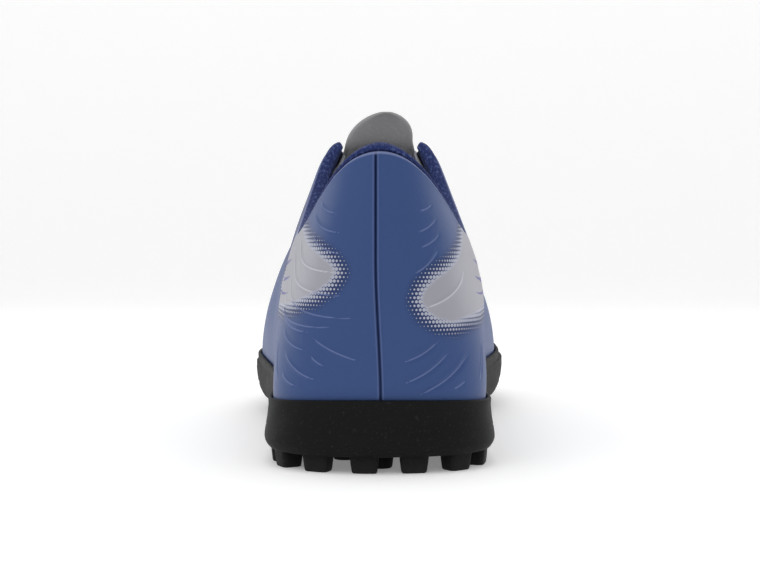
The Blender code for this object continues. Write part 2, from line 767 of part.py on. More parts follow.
def stud_places():
    """Middles of the round studs: staggered rows inside the ring of teeth."""
    clear = BALL_UNDERCUT + LUG_DEPTH + STUD_RADIUS
    turn = np.linspace(0, 1, 400)
    right, _ = outline(turn, clear)
    left, _ = outline(-turn, clear)
    row_pitch = STUD_PITCH * math.sqrt(3) / 2
    rows = int((right[-1, 1] - right[0, 1]) / row_pitch)
    found = []
    for i in range(rows + 1):
        y = right[0, 1] + i * (right[-1, 1] - right[0, 1]) / rows
        high = np.interp(y, right[:, 1], right[:, 0])
        low = np.interp(y, left[:, 1], left[:, 0])
        middle = (high + low) / 2
        shift = STUD_PITCH / 2 if i % 2 else 0.0
        for k in range(-4, 5):
            x = middle + k * STUD_PITCH + shift
            if low <= x <= high:
                found.append(np.array([x, y, 0.0]))
    return found


def laces():
    """Flat lace crossed over the tongue, joined where it crosses, ending at the top eyelets."""
    lift = EYESTAY_STEP + 2.5 * GAP + LACE_WALL / 2
    under = lace_runs("laces", -1, lift)
    over = lace_runs("lace_over", 1, lift + 0.45 * LACE_WALL)
    over.hide_render = True
    over.display_type = "WIRE"
    union = under.modifiers.new("crossings", "BOOLEAN")
    union.operation = "UNION"
    union.object = over
    return under


def lace_runs(name, side, lift):
    """The runs of lace that start on one side, each one pair of eyelets further down."""
    points = []
    faces = []
    for i in range(EYELET_PAIRS - 1):
        sections = lace_run(eyelet_place(i, side), eyelet_place(i + 1, -side), lift)
        body = loft_faces(sections, len(points))
        ring = [point for section in sections for point in section]
        if volume(ring, loft_faces(sections)) < 0:
            body = [face[::-1] for face in body]
        points += ring
        faces += body
    return make(name, points, faces, ((0.6, 0.6, 0.62), 0.8))


def lace_run(start, end, lift):
    """Sections of one run of lace from eyelet to eyelet, on the curve over the throat."""
    ends = []
    for rib, share in (start, end):
        path, along = bridges([abs(rib)], -lift)
        spot = last(rib, share, -lift)
        near = np.argmin(np.linalg.norm(path[0] - spot, axis=-1))
        ends.append(along[0, near])
    shares = np.linspace(0, 1, 7)
    ribs = abs(start[0]) + (abs(end[0]) - abs(start[0])) * shares
    reach = ends[0] + (ends[1] - ends[0]) * shares
    middle = over_throat(ribs, reach, -lift)
    sideways = over_throat(ribs, reach + 0.5 * MM, -lift) - middle
    ahead = over_throat(ribs + 0.05, reach, -lift) - middle
    normal = unit(np.cross(sideways, ahead))
    along = unit(np.gradient(middle, axis=0))
    side = unit(np.cross(normal, along))
    w = LACE_WIDTH / 2
    h = LACE_WALL / 2
    rim = ((-0.92 * w, -h), (-w, h), (w, h), (0.92 * w, -h))
    return [[m + s * a + n * b for a, b in rim] for m, s, n in zip(middle, side, normal)]


def centre_all():
    """Moves every piece so that the origin is under the middle of the shoe's box."""
    turn = np.linspace(-1, 1, 2001)
    edge = plan(turn)
    middle = (edge.min(axis=0) + edge.max(axis=0)) / 2
    for piece in bpy.data.objects:
        piece.location = (-middle[0], -middle[1], 0.0)


def main():
    for old in list(bpy.data.objects):
        bpy.data.objects.remove(old)
    outsole()
    upper()
    insole()
    collar_lining()
    tongue()
    laces()
    centre_all()


main()
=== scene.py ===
"""A left turf shoe seen from behind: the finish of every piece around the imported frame."""
import math

import bpy
import numpy as np
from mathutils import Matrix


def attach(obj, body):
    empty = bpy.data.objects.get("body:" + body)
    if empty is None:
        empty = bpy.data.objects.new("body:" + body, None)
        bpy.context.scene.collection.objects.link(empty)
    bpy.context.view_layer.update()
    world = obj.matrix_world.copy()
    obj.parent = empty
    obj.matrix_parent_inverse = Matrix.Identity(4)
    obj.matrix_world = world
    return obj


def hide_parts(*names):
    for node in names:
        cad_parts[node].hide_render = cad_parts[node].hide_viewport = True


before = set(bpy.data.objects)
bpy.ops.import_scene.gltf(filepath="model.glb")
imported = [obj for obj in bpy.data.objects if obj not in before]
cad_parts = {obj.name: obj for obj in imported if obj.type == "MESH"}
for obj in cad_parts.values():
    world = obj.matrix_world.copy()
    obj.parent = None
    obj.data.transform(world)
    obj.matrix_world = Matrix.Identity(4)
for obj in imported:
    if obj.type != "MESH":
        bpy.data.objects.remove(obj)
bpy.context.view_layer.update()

# Studio: a pale seamless floor, a camera behind the heel and soft lights.
# The camera stands 42 cm behind the heel, level with the ankle, and looks a little down.
SCENE = bpy.context.scene
CAMERA_PLACE = (-0.00045, -0.565, 0.0625)
CAMERA_DROP = math.radians(1.45)
FOCAL_PIXELS = 1570.0
FRAME_PIXELS = 760.0
SENSOR = 36.0


def camera_behind():
    """Camera that looks along +Y, tipped down by the measured drop."""
    data = bpy.data.cameras.new("camera")
    data.sensor_width = SENSOR
    data.lens = FOCAL_PIXELS / FRAME_PIXELS * SENSOR
    data.clip_start = 0.01
    item = bpy.data.objects.new("camera", data)
    item.location = CAMERA_PLACE
    item.rotation_euler = (math.pi / 2 - CAMERA_DROP, 0.0, 0.0)
    SCENE.collection.objects.link(item)
    SCENE.camera = item


def soft_light(name, place, target, size, power):
    """Square area light at a place, turned to face a target."""
    data = bpy.data.lights.new(name, "AREA")
    data.size = size
    data.energy = power
    item = bpy.data.objects.new(name, data)
    item.location = place
    away = np.subtract(place, target)
    flat = math.hypot(away[0], away[1])
    item.rotation_euler = (math.atan2(flat, away[2]), 0.0, math.atan2(away[1], away[0]) + math.pi / 2)
    SCENE.collection.objects.link(item)


def new_material(name):
    """Material with its Principled shader, ready for nodes."""
    made = bpy.data.materials.new(name)
    made.use_nodes = True
    return made, made.node_tree, made.node_tree.nodes["Principled BSDF"]


def node(tree, kind, inputs=(), **settings):
    """Node with its settings, and inputs given as values or as sockets to link."""
    made = tree.nodes.new(kind)
    for key, value in settings.items():
        setattr(made, key, value)
    for place, value in dict(inputs).items():
        if isinstance(value, bpy.types.NodeSocket):
            tree.links.new(value, made.inputs[place])
        else:
            made.inputs[place].default_value = value
    return made


def calc(tree, how, a, b=0.0, c=0.0):
    """Result of one Math node."""
    return node(tree, "ShaderNodeMath", {0: a, 1: b, 2: c}, operation=how).outputs[0]


def floor_sheet():
    """Seamless paper: flat at height zero, then a quarter circle up to a wall far beyond the toe."""
    half, bend, reach, wall = 3.0, 0.9, 1.6, 2.6
    turns = np.linspace(0, math.pi / 2, 25)
    curve = [(reach + bend * math.sin(t), bend * (1 - math.cos(t))) for t in turns]
    line = [(-half, 0.0), *curve, (reach + bend, wall)]
    points = [(side * half, y, z) for y, z in line for side in (-1, 1)]
    mesh = bpy.data.meshes.new("studio_floor")
    rows = range(0, 2 * len(line) - 2, 2)
    mesh.from_pydata(points, [], [(k, k + 1, k + 3, k + 2) for k in rows])
    mesh.shade_smooth()
    finish, _, shader = new_material("studio_floor")
    shader.inputs["Base Color"].default_value = (0.93, 0.93, 0.93, 1.0)
    shader.inputs["Roughness"].default_value = 0.8
    shader.inputs["Emission Color"].default_value = (1.0, 1.0, 1.0, 1.0)
    shader.inputs["Emission Strength"].default_value = 0.20
    mesh.materials.append(finish)
    item = bpy.data.objects.new("studio_floor", mesh)
    SCENE.collection.objects.link(item)


camera_behind()
floor_sheet()
world = bpy.data.worlds.new("studio")
SCENE.world = world
world.use_nodes = True
sky = world.node_tree
way = node(sky, "ShaderNodeTexCoord").outputs["Generated"]
up_share = node(sky, "ShaderNodeSeparateXYZ", {0: way}).outputs[2]
dome = node(sky, "ShaderNodeMapRange", {0: up_share, 1: 0.15, 2: 0.8, 3: 1.0, 4: 0.55})
sky.links.new(dome.outputs[0], sky.nodes["Background"].inputs[1])
sky.nodes["Background"].inputs[0].default_value = (1.0, 1.0, 1.0, 1.0)
SCENE.view_settings.view_transform = "Standard"
soft_light("key", (-0.55, -0.75, 0.75), (0.0, -0.05, 0.05), 0.7, 1.2)
soft_light("top", (0.0, 0.1, 1.0), (0.0, 0.0, 0.05), 0.9, 2.6)
soft_light("rim_left", (-0.7, 0.35, 0.35), (0.0, -0.05, 0.05), 0.6, 0.8)
soft_light("rim_right", (0.7, 0.35, 0.35), (0.0, -0.05, 0.05), 0.6, 0.8)

# Upper: one shell of thin coated synthetic, pulled over the last and glued under at
# the sole. The heel is closed by one turned seam at the back; streaks are embossed by
# heat, and silver patches with a dotted fade are printed on both rear quarters.
MM = 0.001
LENGTH = 0.280
WIDTHS = {"heel": 0.0674, "waist": 0.067, "ball": 0.095}
TOE_SWING = 0.009
ANKLE, BACK, WING_TOP, VAMP, TOE_TOP = 0.0652, 0.0886, 0.095, 0.060, 0.043
ZONES = {"back": (ANKLE, BACK), "side": (ANKLE, WING_TOP), "throat": (VAMP, WING_TOP), "crown": (TOE_TOP, VAMP)}
OPENINGS = {"back": 0.0526, "side": 0.0526, "throat": 0.0256, "crown": 0.0}
FOOT_INSET = 0.0033
GAP = 0.0003
WALL = 0.0017
EYESTAY_STEP = 0.0007

# Outline of the sole: share of the length, the width that the row follows, the row's
# share of it, and its share of the toe's swing.
OUTLINE = (
    ("along", "follows", "width", "swing"),
    (0.000, "heel", 0.000, 0.00),
    (0.010, "heel", 0.480, 0.00),
    (0.030, "heel", 0.745, 0.00),
    (0.060, "heel", 0.915, 0.00),
    (0.100, "heel", 0.988, -0.01),
    (0.150, "heel", 1.000, -0.03),
    (0.220, "heel", 0.990, -0.08),
    (0.300, "waist", 0.997, -0.16),
    (0.380, "waist", 1.025, -0.22),
    (0.460, "waist", 1.110, -0.23),
    (0.540, "ball", 0.875, -0.17),
    (0.620, "ball", 0.972, -0.09),
    (0.690, "ball", 1.000, 0.05),
    (0.760, "ball", 0.976, 0.21),
    (0.830, "ball", 0.908, 0.41),
    (0.890, "ball", 0.797, 0.60),
    (0.940, "ball", 0.640, 0.77),
    (0.975, "ball", 0.440, 0.90),
    (0.992, "ball", 0.258, 0.97),
    (1.000, "ball", 0.000, 1.00),
)

# Ribs of the last from the heel seam to the toe: foot and top point of each, and the
# way that the rib leaves them (shares of its reach, and degrees).
RIBS = (
    ("turn", "along", "spread", "zone", "rise", "low", "lean", "high", "slope"),
    (0.0000, 0.0360, 0.000, "back", 1.000, 0.34, 12, 0.30, 80),
    (0.0611, 0.0404, 0.230, "back", 0.948, 0.34, 11, 0.30, 79),
    (0.1222, 0.0536, 0.430, "back", 0.797, 0.34, 10, 0.30, 78),
    (0.1833, 0.0786, 0.625, "back", 0.530, 0.35, 9, 0.30, 77),
    (0.2500, 0.1179, 0.810, "back", 0.215, 0.36, 9, 0.30, 76),
    (0.3111, 0.1714, 0.955, "back", 0.022, 0.36, 11, 0.30, 73),
    (0.3556, 0.2250, 0.985, "side", 0.034, 0.36, 13, 0.30, 72),
    (0.3861, 0.2714, 0.930, "side", 0.243, 0.36, 14, 0.30, 71),
    (0.4083, 0.3054, 0.830, "side", 0.568, 0.36, 15, 0.30, 70),
    (0.4250, 0.3268, 0.720, "side", 0.858, 0.36, 16, 0.30, 69),
    (0.4417, 0.3429, 0.600, "side", 1.000, 0.36, 16, 0.30, 68),
    (0.4611, 0.3643, 1.060, "throat", 0.955, 0.36, 17, 0.31, 62),
    (0.5000, 0.4214, 1.000, "throat", 0.787, 0.37, 17, 0.33, 48),
    (0.5389, 0.4893, 0.940, "throat", 0.564, 0.38, 14, 0.36, 38),
    (0.5778, 0.5571, 0.860, "throat", 0.337, 0.38, 10, 0.40, 28),
    (0.6111, 0.6143, 0.724, "throat", 0.146, 0.38, 7, 0.43, 17),
    (0.6333, 0.6482, 0.490, "throat", 0.045, 0.38, 6, 0.45, 8),
    (0.6500, 0.6643, 0.000, "crown", 1.000, 0.38, 5, 0.46, 0),
    (0.7000, 0.7107, 0.000, "crown", 0.780, 0.38, 4, 0.46, 0),
    (0.7611, 0.7679, 0.000, "crown", 0.530, 0.40, 4, 0.46, 0),
    (0.8222, 0.8214, 0.000, "crown", 0.320, 0.44, 4, 0.46, 0),
    (0.8833, 0.8643, 0.000, "crown", 0.150, 0.48, 4, 0.46, 0),
    (0.9444, 0.8929, 0.000, "crown", 0.040, 0.50, 4, 0.46, 0),
    (1.0000, 0.9036, 0.000, "crown", 0.000, 0.50, 4, 0.46, 0),
)


def column(table, name):
    """One column of a table whose first row names them."""
    place = table[0].index(name)
    return [row[place] for row in table[1:]]


ZONE = column(RIBS, "zone")
WING = ZONE.index("throat") - 1
THROAT_END = ZONE.index("crown")
TOE = len(ZONE) - 1
UP = np.array([0.0, 0.0, 1.0])


def spline(knots, values, start="free", end="free"):
    """Cubic spline through values at knots, as a function; each end has no slope or no bend."""
    knots = np.asarray(knots, float)
    values = np.asarray(values, float)
    step = np.diff(knots)
    rise = np.diff(values) / step
    matrix = np.eye(len(knots))
    right = np.zeros(len(knots))
    for i in range(1, len(knots) - 1):
        matrix[i, i - 1 : i + 2] = (step[i - 1], 2 * (step[i - 1] + step[i]), step[i])
        right[i] = 6 * (rise[i] - rise[i - 1])
    if start == "flat":
        matrix[0, :2] = (2 * step[0], step[0])
        right[0] = 6 * rise[0]
    if end == "flat":
        matrix[-1, -2:] = (step[-1], 2 * step[-1])
        right[-1] = -6 * rise[-1]
    bend = np.linalg.solve(matrix, right)

    def read(at):
        at = np.asarray(at, float)
        i = np.clip(np.searchsorted(knots, at) - 1, 0, len(knots) - 2)
        before = at - knots[i]
        after = knots[i + 1] - at
        h = step[i]
        curved = (bend[i] * after**3 + bend[i + 1] * before**3) / (6 * h)
        line = (values[i] / h - bend[i] * h / 6) * after
        return curved + line + (values[i + 1] / h - bend[i + 1] * h / 6) * before

    return read


def ease(share):
    """Smooth step: 3 s squared less 2 s cubed, held between 0 and 1."""
    share = np.clip(share, 0, 1)
    return share * share * (3 - 2 * share)


def unit(vectors):
    """Vectors divided by their own lengths."""
    return vectors / np.linalg.norm(vectors, axis=-1, keepdims=True)


def steps_along(path, axis=0):
    """Distances between neighbouring points."""
    return np.linalg.norm(np.diff(path, axis=axis), axis=-1)


def run_length(path):
    """Distance of each point of a path from its first one, along the path."""
    return np.append(0, np.cumsum(steps_along(path)))


def top_height(i):
    """Height of rib i's top: its zone's low edge plus its share of the zone's climb."""
    low, high = ZONES[ZONE[i]]
    return low + (high - low) * column(RIBS, "rise")[i]


def last_curves():
    """Splines through the two tables, by name."""
    angle = np.arccos(1 - 2 * np.array(column(OUTLINE, "along")))
    widths = np.array([WIDTHS[name] for name in column(OUTLINE, "follows")])
    knots = np.arange(TOE + 1)
    opened = THROAT_END + 1
    along = np.array(column(RIBS, "along")) * LENGTH
    heights = [top_height(i) for i in knots]
    halves = [share * OPENINGS[name] / 2 for share, name in zip(column(RIBS, "spread"), ZONE)]
    shapes = ("low", "lean", "high", "slope")
    found = {name: spline(knots, column(RIBS, name), "flat", "flat") for name in shapes}
    found["width"] = spline(angle, np.array(column(OUTLINE, "width")) * widths / 2)
    found["swing"] = spline(angle, np.array(column(OUTLINE, "swing")) * TOE_SWING, "flat", "flat")
    found["turn"] = spline(knots, column(RIBS, "turn"))
    found["near"] = spline(knots[:opened], along[:opened], "flat", "flat")
    found["far"] = spline(knots[THROAT_END:], along[THROAT_END:], "free", "flat")
    found["height"] = spline(knots, heights, "flat")
    found["ridge"] = spline(along[WING:], heights[WING:])
    found["half"] = spline(knots[:opened], halves[:opened])
    return found


LAST = last_curves()


def plan(turn):
    """Outline on the floor: swing plus or minus the half width, at the cosine's share of the length."""
    angle = math.pi * np.abs(turn)
    x = LAST["swing"](angle) + np.sign(turn) * LAST["width"](angle)
    return np.stack([x, LENGTH * (1 - np.cos(angle)) / 2], -1)


edge = plan(np.linspace(-1, 1, 2001))
MIDDLE = np.append((edge.min(axis=0) + edge.max(axis=0)) / 2, 0.0)


def outline(turn, inset):
    """Outline moved inwards along its own normal, and that outward normal."""
    turn = np.asarray(turn, float)
    small = 0.002
    ahead = np.where(turn + small > 1, turn + small - 2, turn + small)
    behind = np.where(turn - small < -1, turn - small + 2, turn - small)
    along = unit(plan(ahead) - plan(behind))
    out = np.stack([along[..., 1], -along[..., 0], 0 * turn], -1)
    flat = plan(turn)
    point = np.stack([flat[..., 0], flat[..., 1], 0 * turn], -1)
    return point - out * inset, out


def spring(y):
    """Rise of the toe: 8 mm times the square of the share past seven tenths of the length."""
    return 0.008 * np.clip((y / LENGTH - 0.70) / 0.30, 0, 1) ** 2


def footbed(y):
    """Height of the floor inside: 12 mm at the heel, easing to 9.5 mm at the ball, plus the spring."""
    return 0.012 - 0.0025 * ease((y / LENGTH - 0.25) / 0.40) + spring(y)


def slowed(rib):
    """Rib number slowed to a stop at the throat's round end."""
    off = np.clip((rib - THROAT_END) / 2.5, -1, 1) ** 2
    return THROAT_END + (rib - THROAT_END) * (2 * off - off * off)


def top_line(rib, side):
    """Top points of the ribs: collar, throat edge and crown."""
    at = slowed(rib)
    near = LAST["near"](np.minimum(at, THROAT_END))
    y = np.where(at <= THROAT_END, near, LAST["far"](np.maximum(at, THROAT_END)))
    follow = ease((at - WING) / 2)
    z = (1 - follow) * LAST["height"](at) + follow * LAST["ridge"](y)
    half = np.where(at >= THROAT_END, 0.0, LAST["half"](np.minimum(at, THROAT_END)))
    centre = TOE_SWING * 0.6 * ease((y / LENGTH - 0.55) / 0.42)
    return np.stack([centre + side * half, y, z], -1)


def swell(rib, side, share):
    """How far the inner side stands out beside the ankle: 1.9 mm at three quarters of each rib."""
    beside = ease((rib - 1) / 3) * ease((WING - 1 - rib) / 3) * (side > 0)
    return 1.9 * MM * beside[..., None] * ease(share / 0.75) * (1 - 0.4 * ease((share - 0.75) / 0.25))


def rib_curve(rib, share):
    """Cubic curve from the foot, leaving it by lean, to the top, arriving by slope."""
    at = np.minimum(np.abs(rib), 2 * TOE - np.abs(rib))
    side = np.where(rib < 0, -1.0, 1.0) * np.where(np.abs(rib) > TOE, -1.0, 1.0)
    foot, out = outline(side * np.clip(LAST["turn"](at), 0, 1), FOOT_INSET)
    foot = foot + (footbed(foot[..., 1]) + GAP)[..., None] * UP
    top = top_line(at, side)
    small = 0.5 * MM
    y = top[..., 1]
    fall = (LAST["ridge"](y - small) - LAST["ridge"](y + small)) / (2 * small) * ease((at - WING) / 3)
    along = unit(np.stack([0 * y, 1 + 0 * y, -fall], -1))
    away = out[..., :1] * np.array([1.0, 0.0, 0.0]) + out[..., 1:2] * along
    reach = np.linalg.norm(top - foot, axis=-1)[..., None]
    lean = np.radians(LAST["lean"](at))[..., None]
    slope = np.radians(LAST["slope"](at))[..., None]
    low = foot + reach * LAST["low"](at)[..., None] * (np.cos(lean) * UP + np.sin(lean) * out)
    high = top + reach * LAST["high"](at)[..., None] * (np.cos(slope) * away - np.sin(slope) * UP)
    s = np.asarray(share, float)[..., None]
    path = (1 - s) ** 3 * foot + 3 * s * (1 - s) ** 2 * low + 3 * s * s * (1 - s) * high + s**3 * top
    return path + out * swell(at, side, s) - MIDDLE


def last_normal(rib, share):
    """Outward direction: the product of the slopes along the foot and up the rib."""
    under_top = np.minimum(share, 0.99)
    along = rib_curve(rib + 0.08, under_top) - rib_curve(rib - 0.08, under_top)
    up = rib_curve(rib, share + 0.004) - rib_curve(rib, share - 0.004)
    return unit(np.cross(along, up))


def last(rib, share, depth):
    """Point at a depth under the upper's face, with the two sides' crown made one."""
    rib, share, depth = np.broadcast_arrays(np.asarray(rib, float), share, depth)
    point = rib_curve(rib, share) - depth[..., None] * last_normal(rib, share)
    joined = (np.abs(rib) >= THROAT_END) & (share >= 1)
    if joined.any():
        other = rib_curve(-rib[joined], share[joined])
        other = other - depth[joined][..., None] * last_normal(-rib[joined], share[joined])
        point[joined] = (point[joined] + other) / 2
    return point


def half_round():
    """Rib numbers from heel to toe: 0.22 mm apart beside the seam, 0.45 mm at the rear, then wider."""
    ribs = np.linspace(0, 6, 1500)
    path = rib_curve(ribs, 0.5 + 0 * ribs)
    gone = run_length(path)
    near = np.concatenate([np.arange(0, 3.0, 0.22), np.arange(3.0, 36.0, 0.45)]) * MM
    rear = np.concatenate([near, np.arange(36.0 * MM, gone[-1], 1.1 * MM)])
    side = np.linspace(6, THROAT_END, 77)
    front = np.linspace(THROAT_END, TOE, 62)
    return np.concatenate([np.interp(rear, gone, ribs), side, front[1:]])


def soft_line(distance, width):
    """Bell of height 1 across a line."""
    return np.exp(-((distance / width) ** 2))


# Embossed streaks on the rear quarters, in millimetres: distance round from the seam
# and height at both ends, the bow of the middle, the width, and the height of the
# ridge (a trough with a ridge under it when it is less than nothing).
STREAKS = (
    ("from_round", "from_height", "to_round", "to_height", "bow", "width", "ridge"),
    (-23.5, 75.0, -13.5, 71.5, -0.8, 0.45, 0.30),
    (-28.0, 72.5, -12.0, 66.0, -1.4, 0.45, 0.32),
    (-25.0, 66.0, -11.0, 60.0, -1.0, 0.45, 0.30),
    (-43.0, 65.5, -12.5, 55.0, -2.6, 0.45, 0.34),
    (-50.0, 63.0, -9.8, 48.5, -3.6, 0.50, 0.36),
    (-47.0, 56.5, -8.5, 42.5, -3.8, 0.50, 0.36),
    (-52.0, 51.0, -14.5, 40.0, -3.4, 0.50, 0.32),
    (-42.0, 46.0, -21.5, 38.5, -1.8, 0.50, 0.30),
    (-36.0, 39.8, -22.5, 33.5, -1.2, 0.50, 0.32),
    (-19.5, 37.0, -6.0, 31.0, -0.6, 0.50, 0.34),
    (-32.0, 33.0, -18.5, 25.5, -1.2, 0.50, 0.34),
    (-20.0, 32.0, -16.0, 29.5, -0.3, 0.45, 0.26),
    (-33.0, 27.0, -25.5, 23.5, -0.7, 0.50, 0.28),
    (17.5, 74.2, 11.5, 72.0, 0.4, 0.50, -0.20),
    (19.0, 70.5, 10.5, 66.0, 0.6, 0.55, -0.24),
    (19.5, 66.2, 11.3, 61.8, 0.6, 0.55, -0.24),
    (18.0, 61.5, 9.0, 54.4, 0.8, 0.60, -0.28),
    (30.0, 55.0, 12.4, 45.2, 1.4, 0.45, 0.30),
    (17.0, 36.6, 6.0, 30.5, 0.9, 0.75, -0.42),
    (20.0, 33.2, 6.0, 24.5, 1.1, 0.80, -0.46),
    (28.0, 32.8, 10.3, 21.3, 1.3, 0.85, -0.50),
    (26.0, 24.9, 21.5, 22.9, 0.3, 0.60, -0.28),
    (38.0, 36.0, 34.0, 24.0, 0.8, 0.80, -0.25),
    (47.0, 40.0, 43.0, 25.0, 1.0, 0.80, -0.25),
    (-41.0, 37.0, -37.0, 24.0, -0.8, 0.80, 0.22),
    (-50.0, 41.0, -46.0, 25.0, -1.0, 0.80, 0.22),
)

# Soft creases where the forefoot flexes and under the ankle, in millimetres: distance
# round from the seam and height at both ends, width, and depth of the trough.
CREASES = (
    ("from_round", "from_height", "to_round", "to_height", "width", "depth"),
    (-192.0, 52.0, -205.0, 32.0, 3.2, 0.50),
    (-200.0, 55.0, -216.0, 34.0, 3.0, 0.40),
    (190.0, 52.0, 204.0, 32.0, 3.2, 0.45),
    (201.0, 54.0, 214.0, 36.0, 2.8, 0.35),
    (-78.0, 60.0, -62.0, 48.0, 3.5, 0.40),
    (76.0, 60.0, 60.0, 48.0, 3.5, 0.40),
)


def off_line(around, height, row, bow=0.0):
    """Share along a straight line between two places, and distance to the side of it, less the bow."""
    x0, z0, x1, z1 = (value * MM for value in row[:4])
    run = np.array([x1 - x0, z1 - z0])
    size = np.hypot(*run)
    run = run / size
    along = ((around - x0) * run[0] + (height - z0) * run[1]) / size
    off = -(around - x0) * run[1] + (height - z0) * run[0]
    return along, off - bow * 4 * along * (1 - along)


def streak_relief(around, height):
    """Sum of bells across bowed lines, each fading out towards its ends.

    Also gives the distance to the nearest line, plain and signed.
    """
    total = 0.0 * around
    nearest = total + 1.0
    signed = total + 1.0
    for row in STREAKS[1:]:
        bow, width, ridge = (value * MM for value in row[4:])
        along, off = off_line(around, height, row, bow)
        fade = ease(along / 0.25) * ease((1 - along) / 0.25)
        total = total + ridge * fade * soft_line(off, width)
        if ridge < 0:
            beside = off + 1.4 * width * math.copysign(1.0, row[0] - row[2])
            total = total - 0.7 * ridge * fade * soft_line(beside, 0.6 * width)
        past = np.maximum(np.maximum(-along, along - 1), 0) * 10 * MM
        spread = np.abs(off) + (1 - fade) * 0.3 * MM + past + (0.12 * MM if ridge < 0 else 0.0)
        signed = np.where(spread < nearest, off, signed)
        nearest = np.minimum(nearest, spread)
    return total, nearest, signed


def crease_relief(around, height):
    """Troughs with a low ridge beside them, along straight lines."""
    total = 0.0 * around
    for row in CREASES[1:]:
        width, depth = (value * MM for value in row[4:])
        along, off = off_line(around, height, row)
        fade = ease(along / 0.3) * ease((1 - along) / 0.3)
        total = total - depth * fade * (soft_line(off, width) - 0.4 * soft_line(off - 1.7 * width, width))
    return total


def seam_offset(around, height):
    """Distance to the side of the heel seam, which leans from 0.2 mm inside to 1.2 mm outside above."""
    return around - (0.2 - 1.4 * ease((height - 19 * MM) / (40 * MM))) * MM


def seam_relief(around, height):
    """Heel seam: a narrow groove between two puckered ridges."""
    off = seam_offset(around, height)
    pucker = 0.5 + 0.5 * np.sin(height / (0.62 * MM) + 1.6 * np.sin(height / (4.2 * MM)))
    pair = soft_line(off - 0.8 * MM, 0.42 * MM) + soft_line(off + 0.8 * MM, 0.42 * MM)
    return (0.16 + 0.10 * pucker) * MM * pair - 0.8 * MM * soft_line(off, 0.30 * MM)


# Edges of the silver panels, one row of corners for each side, in millimetres: round
# from the seam and height.
PANELS = {
    "outer": (
        (-43, 67), (-30, 63), (-21, 60.4), (-15, 57.2), (-13.2, 55.2), (-15, 52.6), (-20, 49.6),
        (-30, 47), (-45, 45.6), (-70, 45.0), (-92, 46.5), (-108, 50), (-98, 55), (-84, 62), (-66, 69),
    ),
    "inner": (
        (43, 66), (36, 63), (29, 59.2), (22, 55.5), (16, 52.6), (12.8, 49.8), (12.0, 47.5), (13.6, 44.8),
        (17, 42.6), (22, 41.8), (28, 43), (40, 44.2), (65, 45.0), (90, 46.5), (108, 50), (98, 55), (84, 62),
        (66, 69),
    ),
}

# Tapered dashes on the panels, in millimetres: round from the seam and height at both
# ends, the bow of the middle and half of the widest place.
DASHES = (
    ("from_round", "from_height", "to_round", "to_height", "bow", "half"),
    (-84.0, 56.5, -50.0, 58.5, -1.0, 1.2),
    (-86.0, 52.8, -46.0, 53.6, -1.2, 0.9),
    (-82.0, 49.4, -40.0, 49.2, -1.2, 0.6),
    (84.0, 56.5, 50.0, 58.5, 1.0, 1.2),
    (86.0, 52.8, 46.0, 53.6, 1.2, 0.9),
    (82.0, 49.4, 40.0, 49.2, 1.2, 0.6),
)


def panel_distance(around, height):
    """Distance outside the nearest panel's edge, less than nothing inside it."""
    nearest = None
    for corners in PANELS.values():
        ends = np.array(corners) * MM
        close = 1.0 + 0.0 * around
        inside = np.zeros(around.shape, bool)
        for a, b in zip(ends, np.roll(ends, -1, axis=0)):
            run = b - a
            share = np.clip(((around - a[0]) * run[0] + (height - a[1]) * run[1]) / (run @ run), 0, 1)
            close = np.minimum(close, np.hypot(around - a[0] - share * run[0], height - a[1] - share * run[1]))
            crossed = (a[1] > height) != (b[1] > height)
            level = np.where(run[1] == 0, 1.0, run[1])
            inside ^= crossed & (around < a[0] + (height - a[1]) * run[0] / level)
        close = np.where(inside, -close, close)
        nearest = close if nearest is None else np.minimum(nearest, close)
    return nearest


def dash_distance(around, height):
    """Distance outside the nearest dash, whose width follows the root of a bump along it."""
    nearest = 1.0 + 0.0 * around
    for row in DASHES[1:]:
        bow, half = (value * MM for value in row[4:])
        along, off = off_line(around, height, row, bow)
        body = np.clip(along, 0, 1)
        taper = half * (1 - body) ** 0.6 * ease(body / 0.25)
        past = np.maximum(np.maximum(-along, along - 1), 0) * 30 * MM
        nearest = np.minimum(nearest, np.abs(off) + past - taper)
    return nearest


def sheet_mesh(name, points, faces, maps=None, slots=()):
    """Mesh object from points and faces, with a UV map for each named pair of values a point."""
    used, corners = np.unique(np.concatenate([np.asarray(face) for face in faces]), return_inverse=True)
    cuts = np.cumsum([len(face) for face in faces])[:-1]
    mesh = bpy.data.meshes.new(name)
    mesh.from_pydata(points[used].tolist(), [], [part.tolist() for part in np.split(corners, cuts)])
    for title, values in (maps or {}).items():
        layer = mesh.uv_layers.new(name=title)
        layer.data.foreach_set("uv", values[used][corners].astype(np.float32).ravel())
    for finish in slots:
        mesh.materials.append(finish)
    mesh.shade_smooth()
    item = bpy.data.objects.new(name, mesh)
    SCENE.collection.objects.link(item)
    return item


def clean_faces(faces):
    """Faces without repeated corners, and without those that have collapsed to a line."""
    kept = []
    for face in faces.tolist():
        corners = [v for k, v in enumerate(face) if v != face[k - 1]]
        if len(set(corners)) > 2:
            kept.append(corners)
    return kept


def strips(grid, closed=True):
    """Four-cornered faces between neighbouring columns of a grid of point numbers."""
    ahead = np.roll(grid, -1, axis=0) if closed else grid[1:]
    here = grid if closed else grid[:-1]
    return np.stack([here[:, :-1], ahead[:, :-1], ahead[:, 1:], here[:, 1:]], -1).reshape(-1, 4)


